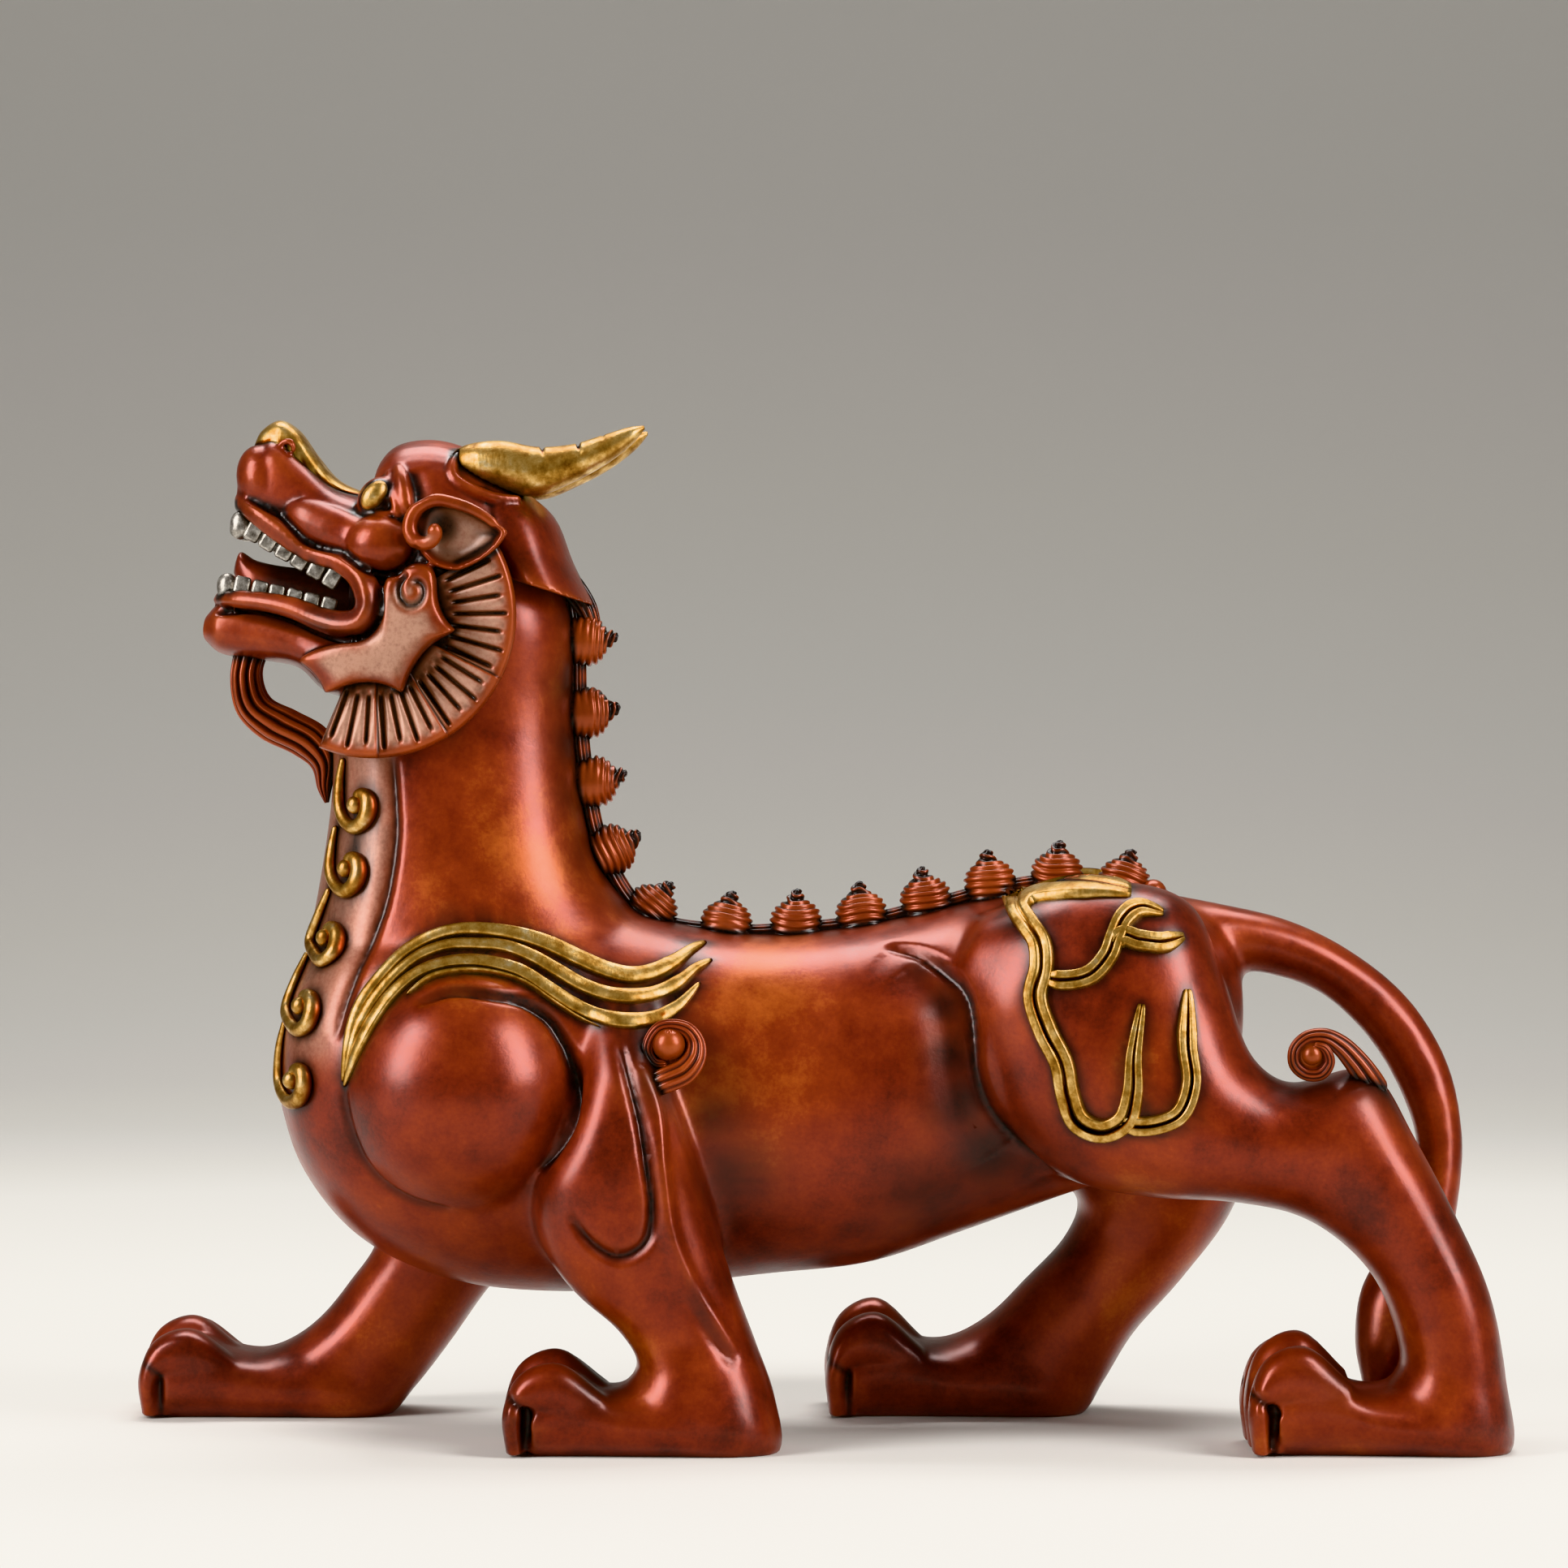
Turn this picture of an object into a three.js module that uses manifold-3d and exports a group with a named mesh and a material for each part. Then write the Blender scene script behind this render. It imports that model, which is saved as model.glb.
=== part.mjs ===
// A cast qilin: a scaled-down guardian beast with a lion's body, a dragon's head and two horns,
// striding to -X with its head up, its jaws open and its tail curled down behind it.
// One casting. Millimetres, +Z up, soles of the feet on z = 0, the near flank towards -Y.

import * as THREE from "three";
import { mergeVertices } from "three/addons/utils/BufferGeometryUtils.js";
import Module from "manifold-3d";

const wasm = await Module();
wasm.setup();

// Overall length, from the leading toe to the trailing heel. The figure's proportions below are
// written in 180ths of it, so that at this size they read as millimetres.
const LENGTH = 180;
const UNIT = LENGTH / 180;

// Sizes that can be set by themselves, all in the same units.
const LEG_SPREAD = 19; // middle plane to the middle of a foot
const FOOT_WIDTH = 20;
const TOES = 3;
const CLAW_REACH = 3.6; // how far a claw stands in front of its pad
const CLAW_SLOT = 0.8; // gap between a claw and the pad behind it
const FORE_FOOT_HEIGHT = 13;
const HIND_FOOT_HEIGHT = 15.4;
const HORN_THICKNESS = 6.6;
const HORN_SPREAD = 6.2; // middle plane to the root of a horn
const LIP_THICKNESS = 2.9;
const TOOTH_HEIGHT = 1.5; // what shows of it above the lip
const TOOTH_THICKNESS = 2.2;
const FANG_HEIGHT = 3.6;
const TEETH = 6; // on one side of one jaw, the fang in front among them
const FAN_THICKNESS = 2.2;
const FAN_RADIUS = 18.6;
const FAN_LEAVES = [57, 31, 30, 24]; // degrees that each leaf of a fan takes up
const LEAF_JOINT = 0.7; // degrees from a leaf's edge to the joint between two
const LEAF_STEP = 0.8; // how far a leaf starts above the end of the one before
const CHEEK_DOME = 1.6; // how far the cheek plate falls from its middle to its tips
const KNOT_RADIUS = 3.4; // spine knots
const KNOT_HEIGHT = 5.6;
const CURL_RADIUS = 3.7; // curls of hair at elbow and hock
const CURL_HEIGHT = 4.4;
const BAND_WIDTH = 1.6; // wing bands over the shoulder
const BAND_GAP = 0.9;
const BANDS = 3;
const MOTIF_WIDTH = 3.1; // flame motif on the haunch
const SCROLL_WIDTH = 1.7; // scrolls on the chest plate
const SCROLL_SIZE = 2.4; // half across one of their curls
const RELIEF_RISE = 1.3; // how far relief stands off the skin
const RELIEF_ROOT = 1.2; // how far it is sunk into it

const NEAR = -1;
const FAR = 1;
const FLANKS = [NEAR, FAR];

// Closed geometry to a solid. A shape that was mirrored or swept backwards is turned right side out.
function solid(geometry) {
  geometry.deleteAttribute("normal");
  geometry.deleteAttribute("uv");
  const merged = mergeVertices(geometry, 1e-4);
  const corners = merged.index.array;
  const faces = [];
  for (let i = 0; i < corners.length; i += 3) {
    const [a, b, c] = corners.slice(i, i + 3);
    if (a !== b && b !== c && c !== a) faces.push([a, b, c]);
  }
  const vertProperties = new Float32Array(merged.attributes.position.array);
  const build = (list) =>
    new wasm.Manifold(new wasm.Mesh({ numProp: 3, vertProperties, triVerts: new Uint32Array(list.flat()) }));
  const made = build(faces);
  return made.volume() < 0 ? build(faces.map(([a, b, c]) => [a, c, b])) : made;
}

function join(solids) {
  return solids.reduce((whole, next) => whole.add(next));
}

// Moves every corner of a ready-made geometry by a function of its old place.
function reshape(geometry, place) {
  const position = geometry.attributes.position;
  for (let i = 0; i < position.count; i++) {
    const moved = place(position.getX(i), position.getY(i), position.getZ(i));
    position.setXYZ(i, moved.x * UNIT, moved.y * UNIT, moved.z * UNIT);
  }
  return solid(geometry);
}

function curveThrough(points) {
  const places = points.map(([x, y, z]) => new THREE.Vector3(x, y, z));
  return new THREE.CatmullRomCurve3(places, false, "centripetal");
}

// One corner of a rounded section: square 2 gives an ellipse, more gives a fuller one.
function roundedCorner(angle, square) {
  const bulge = (value) => Math.sign(value) * Math.abs(value) ** (2 / square);
  return [bulge(Math.cos(angle)), bulge(Math.sin(angle))];
}

// A limb or a body drawn as ribs. Each rib runs between two points of the side outline, a and b,
// as [a.x, a.z, b.x, b.z, y of its middle, half its width].
function ribbed(ribs, { flank = 1, sides = 12, square = 2.2 } = {}) {
  const rings = ribs.length - 1;
  const first = curveThrough(ribs.map(([x, z]) => [x, 0, z]));
  const second = curveThrough(ribs.map(([, , x, z]) => [x, 0, z]));
  const across = curveThrough(ribs.map(([, , , , y, width], i) => [y, width, i]));
  return reshape(new THREE.CylinderGeometry(1, 1, 1, sides, rings), (x, y, z) => {
    const t = THREE.MathUtils.clamp(0.5 - y, 0, 1);
    const a = first.getPoint(t);
    const b = second.getPoint(t);
    const middle = across.getPoint(t);
    const size = Math.hypot(x, z);
    const [along, out] = roundedCorner(Math.atan2(x, z), square);
    const place = a.clone().add(b).multiplyScalar(0.5);
    place.addScaledVector(a.sub(b), 0.5 * along * size);
    place.y = flank * (middle.x + middle.y * out * size);
    return place;
  });
}

// A tapering round bar along points [x, y, z], with one radius for each point.
function bar(points, radii, { sides = 8, steps = 12 } = {}) {
  const path = curveThrough(points);
  const girth = curveThrough(radii.map((radius, i) => [radius, i, 0]));
  const frames = path.computeFrenetFrames(steps, false);
  return reshape(new THREE.CylinderGeometry(1, 1, 1, sides, steps), (x, y, z) => {
    const t = THREE.MathUtils.clamp(0.5 - y, 0, 1);
    const step = Math.round(t * steps);
    const radius = girth.getPoint(t).x;
    return path.getPointAt(t)
      .addScaledVector(frames.normals[step], radius * x)
      .addScaledVector(frames.binormals[step], radius * z);
  });
}

function ball(centre, radii, { turn = 0, wide = 12, high = 8 } = {}) {
  const [c, s] = [Math.cos(turn), Math.sin(turn)];
  return reshape(new THREE.SphereGeometry(1, wide, high), (x, y, z) => {
    const [along, up] = [x * radii[0], z * radii[2]];
    return {
      x: centre[0] + along * c - up * s,
      y: centre[1] + y * radii[1],
      z: centre[2] + along * s + up * c,
    };
  });
}

// A turned knob of [radius, height] pairs, standing at a foot point along a direction.
function turned(profile, foot, direction, sides) {
  const turn = new THREE.Quaternion().setFromUnitVectors(
    new THREE.Vector3(0, 1, 0),
    new THREE.Vector3(...direction).normalize(),
  );
  const outline = profile.map(([radius, height]) => new THREE.Vector2(radius, height));
  const lathe = new THREE.LatheGeometry(outline, sides);
  return reshape(lathe, (x, y, z) =>
    new THREE.Vector3(x, y, z).applyQuaternion(turn).add(new THREE.Vector3(...foot)),
  );
}

// Body and neck

const torso = ribbed([
  [-69.6, 50, -69.6, 43, 0, 5],
  [-67.5, 60, -66.5, 34.5, 0, 14],
  [-61, 68, -59, 25.5, 0, 20],
  [-50, 72, -47, 20, 0, 22.5],
  [-36, 73, -32, 18.4, 0, 22],
  [-21, 68, -18, 19.4, 0, 20],
  [-7, 65.6, -5, 20.8, 0, 20.3],
  [8, 67, 8, 22.3, 0, 21],
  [22, 70, 20, 26.3, 0, 21],
  [35, 72, 33, 31, 0, 20.5],
  [45, 71, 44, 35, 0, 18.5],
  [52.5, 68, 52, 42, 0, 14.5],
  [57, 61, 57, 50, 0, 7],
], { sides: 14 });

const neck = ribbed([
  [-69, 50, -12, 60, 0, 18],
  [-66.8, 61, -21.5, 67.5, 0, 17],
  [-64.6, 72, -27.5, 74.5, 0, 14.5],
  [-62.9, 84, -30.3, 86, 0, 12.6],
  [-62.5, 95, -31, 97, 0, 12],
  [-58, 106, -31, 106, 0, 12],
  [-54, 116, -34, 116, 0, 10],
], { sides: 14 });

// Legs

const foreLegs = [
  ribbed([
    [-34, 60, -20, 59, 12, 6],
    [-33.5, 46, -18.3, 48, 17.5, 9],
    [-35.4, 34, -14.6, 38, 19, 9.4],
    [-34.8, 27, -11.8, 28, 19, 9.2],
    [-30.5, 20.6, -9.4, 20.5, 18.6, 8.8],
    [-24.6, 15.4, -6.8, 13.5, 18.4, 8.7],
    [-22.2, 11.4, -4.4, 6.5, LEG_SPREAD, FOOT_WIDTH * 0.46],
    [-23.6, 8.8, -4, -0.5, LEG_SPREAD, FOOT_WIDTH / 2],
    [-26.8, 8.4, -17, -1, LEG_SPREAD, FOOT_WIDTH / 2],
    [-30.6, 11, -29, -1, LEG_SPREAD, FOOT_WIDTH / 2],
    [-35.6, 9.6, -35.6, -1, LEG_SPREAD, FOOT_WIDTH * 0.48],
  ], { flank: NEAR, sides: 10, square: 2.5 }),
  ribbed([
    [-61, 40, -33, 38, 14, 7],
    [-58, 24.5, -38.5, 22.5, 17.5, 9],
    [-62.2, 17.5, -43.5, 16.5, 18.4, 8.8],
    [-66.5, 12.4, -48.8, 9, 18.8, 9],
    [-70.5, 9.6, -53.5, 3, LEG_SPREAD, FOOT_WIDTH * 0.46],
    [-74, 8.5, -57, -0.6, LEG_SPREAD, FOOT_WIDTH / 2],
    [-78, 9, -69, -1, LEG_SPREAD, FOOT_WIDTH / 2],
    [-81.6, 11, -80, -1, LEG_SPREAD, FOOT_WIDTH / 2],
    [-86.4, 9.6, -86.4, -1, LEG_SPREAD, FOOT_WIDTH * 0.48],
  ], { flank: FAR, sides: 10, square: 2.5 }),
];

const HIP = [
  [17, 57, 22, 68.5, 11, 7],
  [21, 50, 35, 73, 13, 11],
  [25.4, 40.5, 49, 70.6, 14.5, 12.8],
];
const hindLegs = [
  ribbed([
    ...HIP,
    [33.5, 34.4, 53.8, 60, 15, 13],
    [44.4, 32.2, 57.2, 50.4, 16, 12.2],
    [54, 31.8, 62, 47, 17, 11],
    [63, 30, 72, 49, 18, 10],
    [69, 26.2, 78, 40, 18.5, 9.2],
    [73, 21.6, 83, 30.5, 18.8, 8.8],
    [75.4, 15.6, 87.4, 20.5, 19, 8.8],
    [76, 11, 89.6, 9, LEG_SPREAD, FOOT_WIDTH * 0.46],
    [74.2, 8.8, 90, -0.5, LEG_SPREAD, FOOT_WIDTH / 2],
    [69.4, 9, 77, -1, LEG_SPREAD, FOOT_WIDTH / 2],
    [64.6, 13, 66, -1, LEG_SPREAD, FOOT_WIDTH / 2],
    [59.6, 11, 59.6, -1, LEG_SPREAD, FOOT_WIDTH * 0.48],
  ], { flank: NEAR, sides: 10, square: 2.3 }),
  ribbed([
    ...HIP,
    [31, 33.5, 55.5, 58, 15.5, 12.8],
    [36.5, 29, 60.5, 43, 17, 11.5],
    [35, 24, 58, 28.6, 18.3, 10],
    [29.2, 17.6, 50.5, 18, 18.6, 9],
    [24.8, 13.2, 44, 10.6, 18.8, 9],
    [20.6, 10.6, 40, 4, LEG_SPREAD, FOOT_WIDTH * 0.46],
    [17.4, 9.8, 36.8, -0.5, LEG_SPREAD, FOOT_WIDTH / 2],
    [14.6, 10.2, 24, -1, LEG_SPREAD, FOOT_WIDTH / 2],
    [10.8, 13, 12.6, -1, LEG_SPREAD, FOOT_WIDTH / 2],
    [5.9, 11, 5.9, -1, LEG_SPREAD, FOOT_WIDTH * 0.48],
  ], { flank: FAR, sides: 10, square: 2.3 }),
];

// Toes side by side, each arching over the front of the pad and ending in a hooked claw.
function toes(padFront, height, flank) {
  const pitch = FOOT_WIDTH / TOES;
  const made = [];
  for (let i = 0; i < TOES; i++) {
    const y = LEG_SPREAD + (i - (TOES - 1) / 2) * pitch;
    const middle = 1 - Math.abs((2 * i) / (TOES - 1) - 1);
    const top = height * (0.92 + 0.08 * middle);
    const half = pitch * 0.53;
    const reach = CLAW_REACH;
    made.push(ribbed([
      [padFront + 9.5, top * 0.66, padFront + 9, top * 0.3, y, half * 0.8],
      [padFront + 3.4, top, padFront + 3.4, top * 0.42, y, half],
      [padFront - reach * 0.42, top * 0.86, padFront + 0.4, top * 0.46, y, half],
      [padFront - reach, top * 0.46, padFront - CLAW_SLOT, top * 0.44, y, half],
      [padFront - reach * 0.86, -0.1, padFront - CLAW_SLOT, -0.1, y, half * 0.72],
    ], { flank, sides: 6, square: 2.4 }));
  }
  return made;
}

const feet = [
  ...toes(-35.6, FORE_FOOT_HEIGHT, NEAR),
  ...toes(-86.4, FORE_FOOT_HEIGHT, FAR),
  ...toes(59.6, HIND_FOOT_HEIGHT, NEAR),
  ...toes(5.9, HIND_FOOT_HEIGHT, FAR),
];

const shoulders = FLANKS.flatMap((flank) => [
  ball([-44.8, 14 * flank, 46.2], [16, 15, 16.4], { wide: 10, high: 8 }),
]);

// Tail, out over the rump and down behind the hind legs, with its tuft against the near one.
const tail = ribbed([
  [45, 71.4, 46, 56, 0, 6.5],
  [54.5, 69.6, 54.5, 60.5, 0, 5.2],
  [63, 67.6, 61.4, 60, 0, 4.6],
  [71, 63.8, 67.6, 57.6, 0, 4.4],
  [79, 57.4, 73.6, 52, -0.6, 4.2],
  [84.4, 48.5, 77.8, 45, -1.4, 4],
  [86.2, 38.6, 80, 37.5, -2.4, 3.8],
  [85.4, 30, 78.4, 28.5, -3.6, 4.2],
  [83.6, 21.5, 72.8, 20, -5, 5],
  [80.6, 12.5, 71.6, 12.5, -6, 4.8],
  [76.6, 6, 72.6, 6.5, -6.4, 2.6],
], { sides: 7, square: 2 });

// Head

const skull = ribbed([
  [-59.5, 121, -60.5, 101, 0, 8.5],
  [-57.5, 124, -60.2, 98.4, 0, 10.1],
  [-56.4, 127.6, -58.8, 97, 0, 10.8],
  [-54.2, 129.9, -56.4, 96.2, 0, 11.8],
  [-49.6, 130.7, -52, 95.6, 0, 12.6],
  [-45, 129.6, -47, 96.4, 0, 12.4],
  [-40.5, 127, -42, 100, 0, 11.4],
  [-37, 122, -38.5, 106, 0, 9],
], { sides: 12, square: 2.4 });

const muzzle = ribbed([
  [-74.9, 126.4, -75.2, 121, 0, 3.6],
  [-73.6, 129, -73.6, 119.8, 0, 6.2],
  [-70, 131.2, -69.8, 118.2, 0, 7.6],
  [-66.4, 128.4, -65.6, 116, 0, 8.4],
  [-62, 124.6, -61.4, 113.2, 0, 9.6],
  [-57, 123, -56.5, 109, 0, 11],
], { sides: 10, square: 2.5 });

const jaw = ribbed([
  [-79.4, 107.4, -79.6, 104.4, 0, 4],
  [-77.4, 109.2, -77.6, 102.6, 0, 6.4],
  [-71.6, 108.4, -71.6, 101.6, 0, 7.8],
  [-66.4, 107, -67, 100.6, 0, 9],
  [-61, 106, -63.4, 97.4, 0, 11],
  [-55, 107, -57, 96.4, 0, 12.4],
], { sides: 10, square: 2.5 });

const noseRidge = ribbed([
  [-73.2, 129.4, -72, 127.4, 0, 2.4],
  [-72, 131.8, -70.2, 128.2, 0, 3.8],
  [-69.5, 133.2, -68.6, 128.6, 0, 4.8],
  [-67.2, 132, -66.6, 127.2, 0, 5.2],
  [-64.7, 128.6, -64.8, 124.4, 0, 5.4],
  [-61.9, 125.4, -62.2, 121.6, 0, 5.4],
  [-58.2, 123.6, -58.6, 120.4, 0, 4.8],
], { sides: 8, square: 2.6 });

const tongue = ribbed([
  [-74.9, 115.6, -75.4, 112.4, 0, 1.8],
  [-72.8, 114.4, -73.4, 109, 0, 4],
  [-67.4, 113.6, -67.4, 106, 0, 5.2],
  [-58.5, 113.4, -58.5, 104, 0, 5.6],
], { sides: 6 });

// The lip is one round band on each side, from under the nose, round the corner of the mouth and
// forward again along the lower jaw to the chin. The last number is its thickness, as a share.
const LIP = [
  [-74.5, 0, 122.3, 0.8], [-73.9, 4.2, 122.1, 0.85], [-72.1, 6.6, 120.8, 0.9], [-69, 8, 118.6, 1],
  [-64.7, 9.6, 115.5, 0.8], [-61.5, 11.2, 114.5, 0.8], [-58.9, 13, 112.6, 1], [-57.7, 14, 110.3, 1.1],
  [-57.7, 14.1, 108.5, 1.1], [-58.6, 13.8, 106.9, 1.1], [-60.2, 12.8, 106.2, 1.1], [-63.3, 11.4, 106.9, 1],
  [-67.1, 9.9, 108.4, 0.9], [-70.8, 8.5, 109.2, 0.8], [-74.9, 6.6, 109.6, 0.75], [-76.6, 4, 109.7, 0.75],
  [-77.3, 0, 109.7, 0.75],
];
function lip(flank) {
  return bar(
    LIP.map(([x, y, z]) => [x, y * flank, z]),
    LIP.map(([, , , share]) => (share * LIP_THICKNESS) / 2),
    { sides: 5, steps: 11 },
  );
}

// Teeth stand on each lip as one row: a comb that leans with the lip, its foremost tooth a fang.
const TOOTH_ROWS = [
  { from: [-75.6, 4.6, 122.4], to: [-60.6, 9.6, 114], bite: -1 },
  { from: [-76.8, 4.2, 109.9], to: [-61.6, 9.4, 107.2], bite: 1 },
];
function teeth(flank) {
  return TOOTH_ROWS.map(({ from, to, bite }) => {
    const outline = new THREE.Shape();
    const gum = LIP_THICKNESS / 2;
    outline.moveTo(0, 0);
    for (let i = 0; i < TEETH; i++) {
      const height = i === 0 ? FANG_HEIGHT : TOOTH_HEIGHT;
      outline.lineTo((i + 0.12) / TEETH, (gum + height) * bite);
      outline.lineTo((i + 0.8) / TEETH, (gum + height) * bite);
      outline.lineTo((i + 0.96) / TEETH, gum * bite);
    }
    outline.lineTo(1, 0);
    const comb = new THREE.ExtrudeGeometry(outline, { depth: TOOTH_THICKNESS, bevelEnabled: false });
    return reshape(comb, (along, up, depth) => ({
      x: THREE.MathUtils.lerp(from[0], to[0], along),
      y: flank * (THREE.MathUtils.lerp(from[1], to[1], along) + depth - TOOTH_THICKNESS / 2),
      z: THREE.MathUtils.lerp(from[2], to[2], along) + up,
    }));
  });
}

// The bulge of the cheek, the eye and the brow over it.
function cheeks(flank) {
  return [
    ball([-55.8, 10.8 * flank, 116.4], [5.2, 4, 3.9], { turn: -0.15, wide: 7, high: 5 }),
    ball([-56.9, 9.4 * flank, 123.4], [2.4, 2.6, 1.5], { turn: 0.9, wide: 6, high: 4 }),
    ball([-53.6, 9 * flank, 124.8], [2.2, 3.4, 4.4], { turn: -0.25, wide: 6, high: 4 }),
  ];
}

// The jaw muscle is a domed plate with three pointed tips and hollow edges between them.
const CHEEK_MIDDLE = { x: -55, z: 104.5, reach: 11, out: 17.4, root: 8 };
function cheekPlate(flank) {
  const outline = new THREE.Shape();
  outline.moveTo(-55.2, 106.6);
  outline.quadraticCurveTo(-54.8, 113.6, -51, 114.2);
  outline.quadraticCurveTo(-48.6, 113.4, -48.8, 109.6);
  outline.quadraticCurveTo(-48.4, 107, -45.6, 105.4);
  outline.quadraticCurveTo(-51, 103.6, -52.6, 97.4);
  outline.quadraticCurveTo(-57.4, 100.4, -62.6, 97);
  outline.quadraticCurveTo(-63.4, 99.8, -66.4, 101.6);
  outline.lineTo(-60.4, 103.8);
  const plate = new THREE.ExtrudeGeometry(outline, { depth: 1, bevelEnabled: false, curveSegments: 3 });
  return reshape(plate, (x, z, side) => {
    const { reach, out, root } = CHEEK_MIDDLE;
    const away = Math.hypot(x - CHEEK_MIDDLE.x, z - CHEEK_MIDDLE.z) / reach;
    return { x, y: (side > 0 ? out - CHEEK_DOME * away * away : root) * flank, z };
  });
}

// Whisker fan: leaves round the cheek from the ear to the throat, each a step prouder at its
// start than the end of the one before.
const FAN_MIDDLE = { x: -56.5, z: 107.5, start: 30, hub: 9, rimOut: 15, hubOut: 12.6, sink: 4 };
function fan(flank) {
  const stations = [];
  let passed = 0;
  for (const leaf of FAN_LEAVES) {
    for (const share of [0, 0.5, 1]) {
      const bearing = passed + LEAF_JOINT + share * (leaf - 2 * LEAF_JOINT);
      stations.push({ bearing, proud: LEAF_STEP * (0.5 - share) });
    }
    passed += leaf;
  }
  const { start, hub, rimOut, hubOut, sink } = FAN_MIDDLE;
  const sector = new THREE.BoxGeometry(1, 1, 1, stations.length - 1, 1, 1);
  return reshape(sector, (round, away, side) => {
    const { bearing, proud } = stations[Math.round((round + 0.5) * (stations.length - 1))];
    const angle = THREE.MathUtils.degToRad(start - bearing);
    const [radius, out] = away > 0 ? [FAN_RADIUS, rimOut] : [hub, hubOut];
    const root = FAN_THICKNESS + (away > 0 ? 0 : sink);
    return {
      x: FAN_MIDDLE.x + radius * Math.cos(angle),
      y: (side > 0 ? out + proud : out - root) * flank,
      z: FAN_MIDDLE.z + radius * Math.sin(angle),
    };
  });
}

// Ear: a leaf pointing back, hollowed, with its front edge rolled into a curl.
function ear(flank) {
  const leaf = ribbed([
    [-52.2, 120, -51.6, 117, 11.6, 3.4],
    [-49.6, 122.2, -49.2, 114.8, 12.4, 4.6],
    [-46.4, 122.4, -46, 113.6, 13, 4.4],
    [-42.6, 120.9, -42.6, 114.2, 14.2, 2.8],
    [-38.9, 118.5, -39, 117.8, 15.6, 0.6],
  ], { flank, sides: 7 });
  const hollow = ball([-44.2, 18.2 * flank, 117.6], [4.4, 2.8, 2.9], { wide: 6, high: 4 });
  const rolledEdge = bar(
    [[-49.3, 13 * flank, 118.7], [-49.3, 18 * flank, 118.7]],
    [2.4, 1.8],
    { sides: 6, steps: 1 },
  );
  return [leaf.subtract(hollow), rolledEdge];
}

// Horns lie back side by side and turn up at the tips.
function horn(flank) {
  const half = HORN_THICKNESS / 2;
  return ribbed([
    [-47.6, 127.4, -45.6, 125.2, HORN_SPREAD - 0.6, half * 0.6],
    [-44.6, 129.4, -43.2, 124.6, HORN_SPREAD, half * 0.9],
    [-40.4, 130.4, -39.6, 123.6, HORN_SPREAD + 0.3, half * 1.05],
    [-35.6, 129.6, -35.4, 123.2, HORN_SPREAD + 0.8, half],
    [-31, 129.9, -31.2, 123.7, HORN_SPREAD + 1.2, half * 0.9],
    [-26.8, 130.9, -26.8, 125.8, HORN_SPREAD + 1.7, half * 0.72],
    [-23.4, 132, -23, 128.8, HORN_SPREAD + 2, half * 0.5],
    [-21.4, 132.3, -21.3, 131.2, HORN_SPREAD + 2.1, half * 0.18],
  ], { flank, sides: 7, square: 2 });
}

// Mane: a smooth cape off the back of the skull that ends in a lip standing off the neck.
const cape = ribbed([
  [-48, 127, -39, 125, 0, 8],
  [-45, 119, -33.6, 120.6, 0, 11],
  [-42.6, 114, -31, 114.4, 0, 12.6],
  [-40.6, 111.6, -28.2, 108.6, 0, 13.8],
], { sides: 14 });

// Goatee: it hangs off the chin and curls back to a point against the throat.
const beard = ribbed([
  [-75.6, 104, -70.6, 104, 0, 3.4],
  [-76.3, 99, -72, 100, 0, 3.6],
  [-75.4, 94.6, -71, 96.8, 0, 3.8],
  [-72.4, 91.4, -67.6, 95, 0, 4],
  [-68, 89.2, -63.6, 92.6, 0, 3.8],
  [-65.6, 87.4, -62, 89, 0, 3],
  [-64.8, 84.6, -62.8, 85.4, 0, 1.7],
  [-63.9, 82.8, -63.3, 82.9, 0, 0.5],
], { sides: 7 });

// Spine: a row of coiled knots of hair up the back and the back of the neck.
const SPINE = [
  [-31, 110], [-30.8, 104.2], [-30.5, 94.6], [-29.5, 85.4], [-27.2, 76.1], [-21.4, 67.8],
  [-11, 65.6], [-1.6, 65.8], [7.2, 66.8], [15.8, 68.8], [24.2, 71], [32.8, 72.2], [41.4, 71.2], [46, 70],
];
const KNOT_PROFILE = [[0, -0.2], [0.95, -0.2], [0.9, 0.5], [0, 1]];
const knots = SPINE.slice(1, -1).map(([x, z], i) => {
  const before = SPINE[i];
  const after = SPINE[i + 2];
  const along = [after[0] - before[0], after[1] - before[1]];
  const profile = KNOT_PROFILE.map(([radius, height]) => [radius * KNOT_RADIUS, height * KNOT_HEIGHT]);
  return turned(profile, [x, 0, z], [-along[1], 0, along[0]], 6);
});

const CURL_PROFILE = [[0, -1.6], [0.95, -1.6], [0.95, 0.4], [0, 1]];
function curl(x, y, z, flank) {
  const profile = CURL_PROFILE.map(([radius, height]) => [radius * CURL_RADIUS, height * CURL_HEIGHT]);
  return turned(profile, [x, y * flank, z], [0, flank, 0], 7);
}
const curls = [
  curl(-17.3, 21.5, 51.9, NEAR), curl(-17.3, 21.5, 51.9, FAR),
  curl(64.7, 21.6, 50.8, NEAR), curl(58.6, 24, 42, FAR),
];

const body = join([torso, neck, ...foreLegs, ...hindLegs, ...shoulders]);

// Solid back to a geometry.
function geometryOf(shape) {
  const { vertProperties, triVerts } = shape.getMesh();
  const geometry = new THREE.BufferGeometry();
  geometry.setAttribute("position", new THREE.BufferAttribute(new Float32Array(vertProperties), 3));
  geometry.setIndex(new THREE.BufferAttribute(new Uint32Array(triVerts), 1));
  return geometry;
}

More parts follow.
